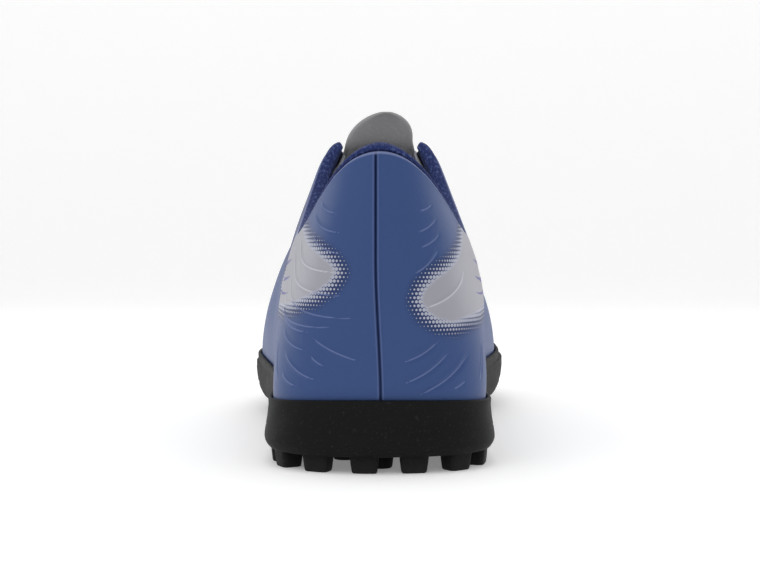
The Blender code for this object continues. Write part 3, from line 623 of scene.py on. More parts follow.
def upper_shell(slots):
    """Outer face with its relief, the inner face a wall below, a rounded top rim and the foot's rim."""
    half = half_round()
    ribs = np.concatenate([half, -half[-2:0:-1]])
    count = len(ribs)
    step = 0.80
    shares = np.concatenate([np.linspace(0, step - 0.004, 118), np.linspace(step + 0.004, 1, 32)])
    rib, share = np.meshgrid(ribs, shares, indexing="ij")
    skin = rib_curve(rib, share)
    gone = np.linalg.norm(np.diff(skin, axis=0, append=skin[:1]), axis=-1)
    first = len(half)
    around = np.zeros_like(gone)
    around[1:first] = np.cumsum(gone[: first - 1], axis=0)
    around[first:] = -np.cumsum(gone[::-1], axis=0)[: count - first][::-1]
    height = skin[..., 2]
    at = np.abs(rib)
    rise = steps_along(skin, 1)
    below = np.concatenate([np.cumsum(rise[:, ::-1], axis=1)[:, ::-1], np.zeros((count, 1))], axis=1)
    below = below + 9 * MM * ease((at - THROAT_END + 0.3) / 0.3)
    stay = ease((at - WING + 0.5) / 1.5) * ease((THROAT_END + 1.0 - at) / 1.5)
    waves = np.sin(around / (9.0 * MM) + height / (5.5 * MM))
    waves = waves * np.sin(height / (8.0 * MM) - around / (17.0 * MM))
    rear = ease((0.125 - np.abs(around)) / 0.03)
    streaks, nearest, signed = streak_relief(around, height)
    cuff = ease((at - 6.3) / 1.0) * ease((12.0 - at) / 0.8) * ease((share - 0.50) / 0.06)
    fade = ease(below / (2.0 * MM)) * ease(share / 0.03)
    relief = rear * streaks + rear * seam_relief(around, height) + crease_relief(around, height)
    relief = (relief + 0.08 * MM * waves) * fade
    relief = relief - 0.5 * MM * (1 - np.sqrt(np.clip(below / (0.8 * MM), 0, 1))) * (at < THROAT_END)
    outer = last(rib, share, -relief - EYESTAY_STEP * stay * (share > step))
    inner_shares = np.concatenate([np.linspace(0, 0.9, 13), [0.96, 1.0]])
    inner = last(*np.meshgrid(ribs, inner_shares, indexing="ij"), WALL)
    crest = 0.3 * MM * unit(skin[:, -1] - skin[:, -3]) * (at[:, :1] < THROAT_END)
    lip = (outer[:, -1] + inner[:, -1]) / 2 + crest
    layers = len(shares)
    under = len(inner_shares)
    index = np.arange(count)
    joined = np.where(at[:, 0] >= THROAT_END, np.minimum(index, (count - index) % count), index)
    outside = index[:, None] * layers + np.arange(layers)
    outside[:, -1] = joined * layers + layers - 1
    inside = count * layers + index[:, None] * under + np.arange(under)
    inside[:, -1] = count * layers + joined * under + under - 1
    edge = count * (layers + under) + joined
    open_top = np.maximum(at[:, 0], np.roll(at[:, 0], -1)) <= THROAT_END
    rim = strips(np.stack([outside[:, -1], edge, inside[:, -1]], -1)).reshape(count, 2, 4)
    rim = rim[open_top].reshape(-1, 4)
    foot = strips(np.stack([inside[:, 0], outside[:, 0]], -1))
    points = np.concatenate([outer.reshape(-1, 3), inner.reshape(-1, 3), lip])
    far = np.ones((count * under + count, 2))
    pairs = {
        "laid_flat": (around, height),
        "print": (panel_distance(around, height), dash_distance(around, height)),
        "relief": (nearest + (1 - rear) * MM, seam_offset(around, height)),
        "edges": (below, stay),
        "zones": (signed, cuff),
    }
    maps = {name: np.concatenate([np.stack(pair, -1).reshape(-1, 2), far]) for name, pair in pairs.items()}
    groups = [clean_faces(group) for group in (strips(outside), foot, rim, strips(inside)[:, ::-1])]
    item = sheet_mesh("upper_shell", points, sum(groups, []), maps, slots)
    lining = np.zeros(sum(len(group) for group in groups), np.int32)
    lining[-len(groups[3]) :] = 1
    item.data.polygons.foreach_set("material_index", lining)
    return item


# Eyelets: six punched holes a side along the eyestay.
EYELET_RADIUS = 2.1 * MM
EYELET_INSET = 7.0 * MM
EYELET_PAIRS = 6


def eyelet_place(i, side):
    """Rib and share of eyelet i from the top: equal steps along the shoe, one inset below the throat's edge."""
    ribs = np.linspace(WING, THROAT_END, 300)
    along = top_line(ribs, 1.0)[:, 1]
    first = along[0] + EYELET_INSET * 0.5
    final = along[-1] - EYELET_INSET * 1.5
    rib = side * float(np.interp(first + (final - first) * i / (EYELET_PAIRS - 1), along, ribs))
    shares = np.linspace(0.5, 1, 60)
    path = last(rib, shares, 0.0)
    return rib, float(np.interp(EYELET_INSET, run_length(path[::-1])[1:], shares[-2::-1]))


def eyelet_punches():
    """Round bars of 28 sides through the eyestay, square to it."""
    turn = np.linspace(0, 2 * math.pi, 29)[:-1, None]
    points, faces = [], []
    for side in (-1, 1):
        for i in range(EYELET_PAIRS):
            rib, share = eyelet_place(i, side)
            out = last_normal(rib, share)
            across = unit(np.cross(out, UP))
            ring = (across * np.cos(turn) + np.cross(across, out) * np.sin(turn)) * EYELET_RADIUS
            start = len(points) * 28
            points += [last(rib, share, 0.0) - out * depth + ring for depth in (-3 * MM, WALL + 3 * MM)]
            bar = np.arange(28)
            faces += [bar + start, bar[::-1] + start + 28]
            faces += list(np.stack([np.roll(bar, -1), bar, bar + 28, np.roll(bar, -1) + 28], -1) + start)
    item = sheet_mesh("eyelet_punches", np.concatenate(points), faces)
    item.hide_render = True
    return item


def shader_group(name, given, results):
    """Node group with named inputs and outputs; returns it with the sockets inside it."""
    tree = bpy.data.node_groups.new(name, "ShaderNodeTree")
    for title, kind, value in given:
        tree.interface.new_socket(name=title, in_out="INPUT", socket_type=kind).default_value = value
    for title in results:
        tree.interface.new_socket(name=title, in_out="OUTPUT", socket_type="NodeSocketFloat")
    return tree, tree.nodes.new("NodeGroupInput").outputs, tree.nodes.new("NodeGroupOutput").inputs


def noise(tree, place, scale, detail=2.0):
    """Cloudy noise between 0 and 1."""
    return node(tree, "ShaderNodeTexNoise", {"Vector": place, "Scale": scale, "Detail": detail}).outputs[0]


def grain_group():
    """Skin grain: small cells that sink at their borders, with a finer noise over them."""
    given = (("Place", "NodeSocketVector", (0, 0, 0)), ("Cells a metre", "NodeSocketFloat", 1200.0))
    tree, start, end = shader_group("skin_grain", given, ("Height",))
    scaled = {"Vector": start[0], "Scale": start[1]}
    cells = node(tree, "ShaderNodeTexVoronoi", scaled, feature="DISTANCE_TO_EDGE")
    fine = noise(tree, start[0], calc(tree, "MULTIPLY", start[1], 2.2))
    border = calc(tree, "MINIMUM", cells.outputs["Distance"], 0.22)
    height = calc(tree, "MULTIPLY_ADD", border, 3.0, calc(tree, "MULTIPLY", fine, 0.5))
    tree.links.new(height, end[0])
    return tree


def knit_group():
    """Knitted loops: each wale holds two strands that lean together, and rows of loops cross them."""
    given = (
        ("Place", "NodeSocketVector", (0, 0, 0)),
        ("Wale", "NodeSocketFloat", 0.0012),
        ("Course", "NodeSocketFloat", 0.0009),
    )
    tree, start, end = shader_group("knit_loops", given, ("Height",))
    place = node(tree, "ShaderNodeSeparateXYZ", {0: start[0]})
    wale = calc(tree, "FRACT", calc(tree, "DIVIDE", place.outputs[0], start[1]))
    off = calc(tree, "ABSOLUTE", calc(tree, "SUBTRACT", wale, 0.5))
    row = calc(tree, "MULTIPLY_ADD", off, 1.5, calc(tree, "DIVIDE", place.outputs[1], start[2]))
    wave = calc(tree, "ABSOLUTE", calc(tree, "SUBTRACT", calc(tree, "FRACT", row), 0.5))
    strand = calc(tree, "SUBTRACT", 1.0, calc(tree, "POWER", calc(tree, "MULTIPLY_ADD", off, 4.0, -1.0), 2.0))
    loop = calc(tree, "SUBTRACT", 1.0, calc(tree, "MULTIPLY", wave, 1.4))
    tree.links.new(calc(tree, "MULTIPLY", strand, loop), end[0])
    return tree


GRAIN = grain_group()
KNIT = knit_group()


def blend_colour(tree, factor, a, b):
    """Colour between a and b, each a colour or a socket."""
    mixed = node(tree, "ShaderNodeMix", data_type="RGBA")
    for place, value in ((0, factor), (6, a), (7, b)):
        if isinstance(value, bpy.types.NodeSocket):
            tree.links.new(value, mixed.inputs[place])
        else:
            mixed.inputs[place].default_value = value
    return mixed.outputs[2]


def below_limit(tree, value, limit, soft):
    """1 where the value is under the limit and 0 above it, with a soft step between."""
    made = node(tree, "ShaderNodeMapRange", {0: value, 1: limit - soft, 2: limit + soft, 3: 1.0, 4: 0.0})
    made.interpolation_type = "SMOOTHSTEP"
    return made.outputs[0]


def map_pair(tree, name):
    """The two values of a UV map."""
    made = node(tree, "ShaderNodeUVMap", uv_map=name)
    parts = node(tree, "ShaderNodeSeparateXYZ", {0: made.outputs[0]})
    return parts.outputs[0], parts.outputs[1]


def dot_lattice(tree, u, v, pitch):
    """Distance to the nearest point of a staggered lattice: the lesser of two square-cornered ones."""
    found = []
    for shift in (0.0, 0.5):
        x = calc(tree, "FRACT", calc(tree, "MULTIPLY_ADD", u, 1 / pitch, shift))
        y = calc(tree, "FRACT", calc(tree, "MULTIPLY_ADD", v, 0.5 / pitch, shift))
        x = calc(tree, "MULTIPLY", calc(tree, "SUBTRACT", x, 0.5), pitch)
        y = calc(tree, "MULTIPLY", calc(tree, "SUBTRACT", y, 0.5), 2 * pitch)
        squares = calc(tree, "ADD", calc(tree, "MULTIPLY", x, x), calc(tree, "MULTIPLY", y, y))
        found.append(calc(tree, "SQRT", squares))
    return calc(tree, "MINIMUM", *found)


def bump(tree, height, distance, strength=1.0, under=None):
    """Normal bent by a height, over another normal when one is given."""
    made = node(tree, "ShaderNodeBump", {"Height": height, "Distance": distance, "Strength": strength})
    if under is not None:
        tree.links.new(under, made.inputs["Normal"])
    return made.outputs[0]


def coated_finish():
    """Blue coated synthetic with its prints, seam line, stitched eyestay and fine grain, with painted sheen on
    faces seen edge-on and painted highlights along the top edge, the streaks and the seam's folds.
    """
    made, tree, shader = new_material("coated_synthetic")
    u, v = map_pair(tree, "laid_flat")
    panel, dash = map_pair(tree, "print")
    streak, seam = map_pair(tree, "relief")
    below, stay = map_pair(tree, "edges")
    signed, cuff = map_pair(tree, "zones")
    place = node(tree, "ShaderNodeTexCoord").outputs["Object"]
    cloud = noise(tree, place, 14.0, 3.0)
    colour = blend_colour(tree, cloud, (0.028, 0.063, 0.178, 1), (0.040, 0.076, 0.205, 1))
    # Painted sheen: faces turned edge-on to the camera are painted a paler blue, standing in for the light the
    # coating catches there.
    painted_sheen = node(tree, "ShaderNodeLayerWeight", {0: 0.35}).outputs["Facing"]
    band = below_limit(tree, panel, 4.6 * MM, 1.6 * MM)
    radius = node(tree, "ShaderNodeMapRange", {0: panel, 1: -1.2 * MM, 2: 5.4 * MM, 3: 0.80 * MM, 4: 0.02 * MM})
    spot = calc(tree, "SUBTRACT", dot_lattice(tree, u, v, 1.12 * MM), radius.outputs[0])
    dots = below_limit(tree, spot, 0.0, 0.07 * MM)
    dots = calc(tree, "MULTIPLY", dots, below_limit(tree, panel, 5.2 * MM, 0.2 * MM))
    body = below_limit(tree, panel, 0.2 * MM, 0.5 * MM)
    strokes = calc(tree, "MULTIPLY", below_limit(tree, dash, 0.0, 0.12 * MM), body)
    # Painted highlight: thin pale lines along the embossed streaks, paler still over the silver body.
    painted_streak_highlight = below_limit(tree, calc(tree, "ABSOLUTE", signed), 0.20 * MM, 0.12 * MM)
    painted_streak_highlight = calc(tree, "MULTIPLY", painted_streak_highlight, below_limit(tree, streak, 0.45 * MM, 0.10 * MM))
    painted_highlight_colour = blend_colour(tree, body, (0.150, 0.195, 0.380, 1), (0.60, 0.60, 0.66, 1))
    off = calc(tree, "ABSOLUTE", seam)
    beside = calc(tree, "ABSOLUTE", calc(tree, "SUBTRACT", off, 0.65 * MM))
    # Painted highlight: a pale line on each folded ridge beside the heel seam.
    painted_fold_highlight = below_limit(tree, beside, 0.16 * MM, 0.16 * MM)
    line = below_limit(tree, off, 0.26 * MM, 0.16 * MM)
    # Painted highlight: a pale line along the top edge, where its fold would catch the light.
    rim = below_limit(tree, below, 0.75 * MM, 0.35 * MM)
    dashes = calc(tree, "PINGPONG", u, 1.1 * MM)
    from_row = calc(tree, "ABSOLUTE", calc(tree, "SUBTRACT", below, 2.4 * MM))
    thread = below_limit(tree, from_row, 0.30 * MM, 0.10 * MM)
    thread = calc(tree, "MULTIPLY", thread, below_limit(tree, dashes, 0.85 * MM, 0.1 * MM))
    thread = calc(tree, "MULTIPLY", thread, stay)
    coats = (
        (painted_sheen, 0.4, (0.070, 0.102, 0.255, 1)),
        (cuff, 1.0, (0.020, 0.036, 0.135, 1)),
        (band, 0.75, (0.016, 0.027, 0.095, 1)),
        (dots, 1.0, (0.385, 0.400, 0.480, 1)),
        (body, 1.0, (0.325, 0.325, 0.365, 1)),
        (strokes, 1.0, (0.095, 0.095, 0.275, 1)),
        (painted_streak_highlight, 0.6, painted_highlight_colour),
        (painted_fold_highlight, 0.35, (0.15, 0.19, 0.36, 1)),
        (line, 0.9, (0.006, 0.012, 0.055, 1)),
        (rim, 0.55, (0.27, 0.31, 0.50, 1)),
        (thread, 0.8, (0.12, 0.15, 0.33, 1)),
    )
    for mask, share, paint in coats:
        colour = blend_colour(tree, calc(tree, "MULTIPLY", mask, share), colour, paint)
    tree.links.new(colour, shader.inputs["Base Color"])
    grain = node(tree, "ShaderNodeGroup", {"Place": place, "Cells a metre": 1500.0}, node_tree=GRAIN).outputs[0]
    normal = bump(tree, grain, 0.05 * MM, 0.5)
    normal = bump(tree, calc(tree, "ADD", dots, thread), 0.06 * MM, 0.6, normal)
    tree.links.new(normal, shader.inputs["Normal"])
    rough = calc(tree, "MULTIPLY_ADD", cloud, 0.12, 0.36)
    tree.links.new(calc(tree, "MULTIPLY_ADD", grain, 0.05, rough), shader.inputs["Roughness"])
    tree.links.new(calc(tree, "MULTIPLY", body, 0.25), shader.inputs["Metallic"])
    shader.inputs["Specular IOR Level"].default_value = 0.17
    return made


def cloth_finish(name, colour, fleck, wale, course, flecks=0.3, dark=0.35):
    """Knitted cloth: loops in relief, painted shade between them, with paler flecks of yarn."""
    made, tree, shader = new_material(name)
    place = node(tree, "ShaderNodeUVMap", uv_map="laid_flat").outputs[0]
    given = {"Place": place, "Wale": wale, "Course": course}
    loops = node(tree, "ShaderNodeGroup", given, node_tree=KNIT).outputs[0]
    yarn = noise(tree, place, 900.0)
    # Painted shade: the colour falls to its dark share between the loops, where their relief would shade it.
    shade = blend_colour(tree, loops, tuple(dark * value for value in colour[:3]) + (1,), colour)
    spots = node(tree, "ShaderNodeMapRange", {0: yarn, 1: 0.52, 2: 0.68, 3: 0.0, 4: flecks}).outputs[0]
    tree.links.new(blend_colour(tree, spots, shade, fleck), shader.inputs["Base Color"])
    tree.links.new(bump(tree, loops, 0.25 * MM, 0.8), shader.inputs["Normal"])
    shader.inputs["Roughness"].default_value = 0.85
    shader.inputs["Specular IOR Level"].default_value = 0.2
    shader.inputs["Sheen Weight"].default_value = 0.08
    return made


LINING_CLOTH = cloth_finish("inner_cloth", (0.020, 0.028, 0.110, 1), (0.06, 0.08, 0.24, 1), 1.0 * MM, 0.8 * MM)
upper_piece = upper_shell([coated_finish(), LINING_CLOTH])
cut = upper_piece.modifiers.new("eyelets", "BOOLEAN")
cut.operation = "DIFFERENCE"
cut.object = eyelet_punches()
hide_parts("upper")
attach(upper_piece, "root")

# Collar lining: a padded knit band sewn inside the collar; its roll stands a little
# above the upper's edge at the heel and thins out towards the wings.
LINING_WALL, LINING_DEPTH, ROLL = 3.4 * MM, 26.0 * MM, 3.1 * MM


def round_path(points, count, closed=True):
    """Smooth path of equal steps through points (uniform Catmull-Rom, four neighbours a step)."""
    points = np.asarray(points, float)
    n = len(points)
    at = np.arange(count) * (n if closed else n - 1) / (count if closed else count - 1)
    i = np.minimum(at.astype(int), n - 1)
    t = (at - i)[:, None]
    pick = (lambda k: points[(i + k) % n]) if closed else (lambda k: points[np.clip(i + k, 0, n - 1)])
    a, b, c, d = pick(-1), pick(0), pick(1), pick(2)
    return 0.5 * (2 * b + (c - a) * t + (2 * a - 5 * b + 4 * c - d) * t * t + (3 * b - a - 3 * c + d) * t**3)


def lining_section(rib):
    """Closed section at a rib: up behind the upper, over the roll and down the padded inner side."""
    fade = 1 - 0.42 * ease((abs(rib) - WING + 4.5) / 4.0)
    shares = np.linspace(0, 1, 120)
    path = rib_curve(rib + 0 * shares, shares)
    depths = LINING_DEPTH * np.array([1.0, 0.72, 0.44, 0.2, 0.0])
    at = np.interp(depths, run_length(path[::-1]), shares[::-1])
    behind = WALL + GAP
    wall = LINING_WALL * fade
    near = last(rib, at, behind)
    far = last(rib, at, behind + wall * np.array([0.35, 0.7, 0.95, 1.0, 1.0]))[::-1]
    top = last(rib, 1.0, 0.0)
    inwards = -last_normal(np.array(rib), np.array(1.0))
    rise = unit(path[-1] - path[-3])
    roll = ROLL * (0.45 + 0.55 * fade)
    full = behind + wall
    arch = ((behind, GAP), (0.4 * behind, 2.5 * GAP), (0.25 * behind, 0.6 * roll))
    arch += ((0.5 * full, roll), (0.97 * full, 0.5 * roll))
    head = [top + inwards * d + rise * h for d, h in arch]
    return round_path(np.concatenate([near, head, far]), 64)


def closed_sweep(name, sections, finish):
    """Skin through closed sections, capped at both ends, with a UV map of lengths along and round it."""
    sections = np.asarray(sections)
    count, size = sections.shape[:2]
    ring = np.arange(size + 1) % size
    grid = np.arange(count)[:, None] * size + ring
    faces = strips(grid, closed=False).tolist()
    faces += [list(range(size)), [(count - 1) * size + j for j in range(size)][::-1]]
    gone = run_length(sections.mean(axis=1))
    girth = np.linalg.norm(np.diff(sections, axis=1, append=sections[:, :1]), axis=-1)
    round_it = np.concatenate([np.zeros((count, 1)), np.cumsum(girth, axis=1)[:, :-1]], axis=1)
    flat = np.stack([np.repeat(gone[:, None], size, 1), round_it], -1).reshape(-1, 2)
    return sheet_mesh(name, sections.reshape(-1, 3), faces, {"laid_flat": flat}, [finish])


def outward(item):
    """Turns a closed mesh inside out when its signed volume is less than nothing."""
    mesh = item.data
    points = np.empty(len(mesh.vertices) * 3)
    mesh.vertices.foreach_get("co", points)
    points = points.reshape(-1, 3)
    mesh.calc_loop_triangles()
    corners = np.empty(len(mesh.loop_triangles) * 3, np.int32)
    mesh.loop_triangles.foreach_get("vertices", corners)
    a, b, c = (points[corners.reshape(-1, 3)[:, k]] for k in range(3))
    if np.einsum("ij,ij->i", a, np.cross(b, c)).sum() < 0:
        mesh.flip_normals()
    return item


lining_ribs = np.linspace(-WING + 0.02, WING - 0.02, 321)
ROLL_CLOTH = cloth_finish(
    "collar_knit", (0.026, 0.046, 0.195, 1), (0.13, 0.19, 0.44, 1), 1.3 * MM, 1.0 * MM, flecks=0.45
)
lining = outward(closed_sweep("collar_roll", [lining_section(rib) for rib in lining_ribs], ROLL_CLOTH))
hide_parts("collar_lining")
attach(lining, "root")

# Insole: a loose moulded foam sockliner with a cloth top, dished so that its rim
# climbs a little round the heel and the sides.
INSOLE_WALL = 4.0 * MM


def insole_sheet():
    """Foam slab: flat below, its top dished by the square of the share across, with a rounded edge."""
    steps = 180
    half = np.linspace(0, 1, steps + 1)
    turns = np.concatenate([half, -half[-2:0:-1]])
    inset = FOOT_INSET + WALL + 2 * GAP
    rings = []
    rounded = ((0.0, 0.0), (0.0, 0.62), (0.06, 0.78), (0.18, 0.92), (0.40, 1.0), (0.75, 1.0), (1.4, 0.92))
    for draw, lift in rounded:
        ring, _ = outline(turns, inset + draw * INSOLE_WALL)
        rings.append(ring + (footbed(ring[:, 1]) + GAP + lift * INSOLE_WALL)[:, None] * UP - MIDDLE)
    count = len(turns)
    spans = np.linspace(-1, 1, 25)[1:-1]
    border = rings[-1]
    mate = border[(count - np.arange(count)) % count]
    fill = [(border * (1 + s) + mate * (1 - s)) / 2 for s in spans[::-1]]
    columns = np.arange(1, steps)
    top = np.stack([row[columns] for row in [border, *fill, mate]], 1)
    across = np.linspace(-1, 1, top.shape[1])
    from_tips = np.minimum(columns, steps - columns)[:, None]
    top[..., 2] -= 0.10 * INSOLE_WALL * (1 - across**2) * ease(from_tips / 8)
    points = np.concatenate([*rings, top.reshape(-1, 3)])
    index = np.arange(count)
    grid = np.stack([index + k * count for k in range(len(rings))], -1)
    faces = clean_faces(strips(grid))
    heel_tip = (len(rings) - 1) * count
    spot = heel_tip + count + np.arange(len(columns))[:, None] * top.shape[1] + np.arange(top.shape[1])
    spot[:, 0] = heel_tip + columns
    spot[:, -1] = heel_tip + (count - columns) % count
    faces += clean_faces(strips(spot, closed=False))
    faces += [[heel_tip, *spot[0].tolist()], [heel_tip + steps, *spot[-1][::-1].tolist()]]
    left = index[: steps + 1]
    right = (count - left) % count
    faces += clean_faces(np.stack([left[:-1], left[1:], right[1:], right[:-1]], -1)[:, ::-1])
    return sheet_mesh("sockliner", points, faces, {"laid_flat": points[:, :2]})


insole = outward(insole_sheet())
SOCK_CLOTH = cloth_finish(
    "sockliner_cloth", (0.018, 0.028, 0.105, 1), (0.05, 0.07, 0.22, 1), 0.9 * MM, 0.7 * MM
)
insole.data.materials.append(SOCK_CLOTH)
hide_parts("insole")
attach(insole, "root")

# Outsole: one moulded rubber cup cemented round the upper, with a bulged sidewall, a
# ring of square teeth under its edge and rows of round studs inside them.
LUG_HEIGHT, LUG_WIDTH, LUG_DEPTH = 4.6 * MM, 7.6 * MM, 7.0 * MM
LUG_PITCH, LUG_START = 13.4 * MM, -4.1 * MM
STUD_RADIUS, STUD_PITCH = 4.0 * MM, 20.0 * MM
RIM_WALL, CHAMFER, WAIST_GROOVE = 1.3 * MM, 1.2 * MM, 0.8 * MM
RIM_TURNS, RIM_HEIGHTS = (0, 0.16, 0.34, 0.58, 0.80, 1), (7.7, 6.4, 6.4, 12.0, 12.0, 12.5)
RIM_RISE = spline(RIM_TURNS, np.array(RIM_HEIGHTS) * MM, "flat", "flat")
BALL_UNDERCUT = 4.4 * MM


def underside(y):
    """Plate's height: the lugs' height and the toe's spring, with a bell of 2 mm under the arch."""
    return LUG_HEIGHT + spring(y) + 2.0 * MM * np.exp(-(((y / LENGTH - 0.40) / 0.10) ** 2))


def ball_share(turn):
    """0 along the heel and 1 along the forefoot, where the sidewall bulges higher up."""
    return ease((np.abs(turn) - 0.34) / 0.20)


def undercut(turn):
    """How far the sidewall draws in under its bulge: 1.9 mm at the heel, 4.4 mm at the ball."""
    return (1.9 + 2.5 * ball_share(turn)) * MM


def sole_cup():
    """Rings round the shoe: up inside, over the rim, down the bulged sidewall and in under the plate."""
    parts = (np.linspace(0, WING, 130), np.linspace(WING, THROAT_END, 80), np.linspace(THROAT_END, TOE, 90))
    half = np.concatenate([parts[0], parts[1][1:], parts[2][1:]])
    ribs = np.concatenate([half, -half[-2:0:-1]])
    turn = LAST["turn"](np.abs(ribs)) * np.where(ribs < 0, -1, 1)
    shares = np.linspace(0, 0.6, 120)
    paths = rib_curve(*np.meshgrid(ribs, shares, indexing="ij"))[..., 2]
    rise = RIM_RISE(LAST["turn"](np.abs(ribs)))
    covered = np.array([np.interp(path[0] + up, path, shares) for path, up in zip(paths, rise)])
    rings = [last(ribs, covered * k, -GAP) for k in (0.0, 0.2, 0.4, 0.6, 0.8, 0.95)]
    rings[0][:, 2] = footbed(rings[0][:, 1] + MIDDLE[1])
    for turned in np.radians((0, 30, 60, 90, 120, 150, 180)):
        depth = GAP + RIM_WALL / 2 * (1 - math.cos(turned))
        rings.append(last(ribs, covered, -depth) + 0.35 * RIM_WALL * math.sin(turned) * UP)
    rings += [last(ribs, covered * k, -GAP - RIM_WALL) for k in (0.93, 0.84, 0.74)]
    top = last(ribs, covered, -GAP - RIM_WALL)[:, 2]
    ball = ball_share(turn)
    bulge = 0.22 + 0.40 * ball
    tuck = undercut(turn)
    profile = np.array([
        (WAIST_GROOVE * (1 - ball), 0.5 + 0.5 * bulge),
        (0.4 * WAIST_GROOVE * (1 - ball), 0.25 + 0.75 * bulge),
        (0 * tuck, bulge),
        (0.18 * tuck, 0.5 * bulge),
        (0.62 * tuck, 0.1 * bulge),
        (tuck, 0 * bulge),
        (tuck + CHAMFER, 0 * bulge),
    ]).transpose(2, 0, 1)
    smooth = np.array([round_path(rows, 34, closed=False) for rows in profile])
    for k in range(smooth.shape[1]):
        line = 0.22 * MM * soft_line(smooth[:, k, 1] - 0.44 + 0.10 * ball, 0.018)
        ring, _ = outline(turn, (smooth[:, k, 0] + line)[:, None])
        base = underside(ring[:, 1])
        ring[:, 2] = base + (top + MIDDLE[2] - base) * smooth[:, k, 1]
        rings.append(ring - MIDDLE)
    count = len(ribs)
    index = np.arange(count)
    spans = np.linspace(1, -1, 26)[1:-1]
    points = list(rings)
    faces = clean_faces(strips(index[:, None] + np.arange(len(rings)) * count))
    for start, level, turned in ((0, footbed, True), (len(rings) - 1, underside, False)):
        border = rings[start]
        mate = border[(count - index) % count]
        columns = np.arange(1, count // 2)
        plate = np.stack([(border * (1 + s) + mate * (1 - s))[columns] / 2 for s in spans], 1)
        plate[..., 2] = level(plate[..., 1] + MIDDLE[1])
        base = sum(part.shape[0] for part in points)
        points.append(plate.reshape(-1, 3))
        spot = base + np.arange(plate.shape[0])[:, None] * plate.shape[1] + np.arange(plate.shape[1])
        sides = (start * count + columns[:, None], start * count + count - columns[:, None])
        spot = np.concatenate([sides[0], spot, sides[1]], 1)
        lid = clean_faces(strips(spot, closed=False))
        lid.append([start * count, *spot[0].tolist()])
        lid.append([start * count + count // 2, *spot[-1][::-1].tolist()])
        faces += [face[::-1] for face in lid] if turned else lid
    return sheet_mesh("sole_cup", np.concatenate(points), faces)


def lug_forms():
    """Teeth round the edge, then staggered rows of studs: middle, two half widths and how square each is."""
    turn = np.linspace(-1, 1, 1201)
    path, _ = outline(turn, (undercut(turn) + LUG_DEPTH / 2)[:, None])
    gone = run_length(path)
    count = 2 * round(gone[-1] / LUG_PITCH / 2)
    places = gone[600] + LUG_START + (np.arange(count) - count // 2) * gone[-1] / count
    at = np.interp(places % gone[-1], gone, turn)
    middles, outs = outline(at, (undercut(at) + LUG_DEPTH / 2)[:, None])
    found = [(centre, out, LUG_DEPTH / 2, LUG_WIDTH / 2, True) for centre, out in zip(middles, outs)]
    clear = BALL_UNDERCUT + LUG_DEPTH + STUD_RADIUS
    right, _ = outline(np.linspace(0, 1, 400), clear)
    left, _ = outline(-np.linspace(0, 1, 400), clear)
    rows = int((right[-1, 1] - right[0, 1]) / (STUD_PITCH * math.sqrt(3) / 2))
    for i in range(rows + 1):
        y = right[0, 1] + i * (right[-1, 1] - right[0, 1]) / rows
        high = np.interp(y, right[:, 1], right[:, 0])
        low = np.interp(y, left[:, 1], left[:, 0])
        for k in range(-4, 5):
            x = (high + low) / 2 + (k + 0.5 * (i % 2)) * STUD_PITCH
            if low <= x <= high:
                centre, out = np.array([x, y, 0.0]), np.array([1.0, 0.0, 0.0])
                found.append((centre, out, STUD_RADIUS, STUD_RADIUS, False))
    return found


def lug_set():
    """Lugs as stacks of rings: a flared root, drafted flanks, a rounded tip and a flat end."""
    sides = 32
    angle = np.linspace(0, 2 * math.pi, sides + 1)[:-1]
    levels = ((1.0, 1.0), (0.25, 1.12), (0.05, 1.04), (-0.35, 0.985), (-1.8, 0.95), (-3.9, 0.88))
    levels += ((-4.35, 0.85), (-4.6, 0.78), (-4.6, 0.60))
    points, faces = [], []
    for centre, out, deep, wide, tooth in lug_forms():
        power = 0.45 if tooth else 1.0
        a = np.sign(np.cos(angle)) * np.abs(np.cos(angle)) ** power * deep
        b = np.sign(np.sin(angle)) * np.abs(np.sin(angle)) ** power * wide
        if tooth:
            b = b * (1 - 0.16 * np.clip(-a / deep, -1, 1))
        along = np.array([-out[1], out[0], 0.0])
        ring = a[:, None] * out + b[:, None] * along
        base = underside(centre[1])
        start = len(points) * sides
        for height, scale in levels:
            level = centre + ring * scale
            level[:, 2] = base + height * MM
            points.append(level - MIDDLE)
        index = start + np.arange(len(levels))[None, :] * sides + np.arange(sides)[:, None]
        faces += strips(index).tolist()
        faces += [index[::-1, 0].tolist(), index[:, -1].tolist()]
    return sheet_mesh("sole_lugs", np.concatenate(points), faces)


def rubber_finish():
    """Black moulded rubber: soft specks, a fine skin, duller where it meets the ground."""
    made, tree, shader = new_material("black_rubber")
    place = node(tree, "ShaderNodeTexCoord").outputs["Object"]
    specks = noise(tree, place, 1300.0)
    lit = node(tree, "ShaderNodeMapRange", {0: specks, 1: 0.60, 2: 0.75, 3: 0.0, 4: 0.6}).outputs[0]
    colour = blend_colour(tree, lit, (0.0060, 0.0060, 0.0065, 1), (0.024, 0.024, 0.027, 1))
    low = node(tree, "ShaderNodeSeparateXYZ", {0: place}).outputs[2]
    dust = node(tree, "ShaderNodeMapRange", {0: low, 1: 0.0, 2: 4 * MM, 3: 0.5, 4: 0.0}).outputs[0]
    cloud = noise(tree, place, 160.0, 4.0)
    colour = blend_colour(tree, calc(tree, "MULTIPLY", dust, cloud), colour, (0.045, 0.042, 0.038, 1))
    tree.links.new(colour, shader.inputs["Base Color"])
    grain = node(tree, "ShaderNodeGroup", {"Place": place, "Cells a metre": 1800.0}, node_tree=GRAIN).outputs[0]
    tree.links.new(bump(tree, grain, 0.04 * MM, 0.5), shader.inputs["Normal"])
    tree.links.new(calc(tree, "MULTIPLY_ADD", cloud, 0.15, 0.52), shader.inputs["Roughness"])
    shader.inputs["Specular IOR Level"].default_value = 0.09
    return made


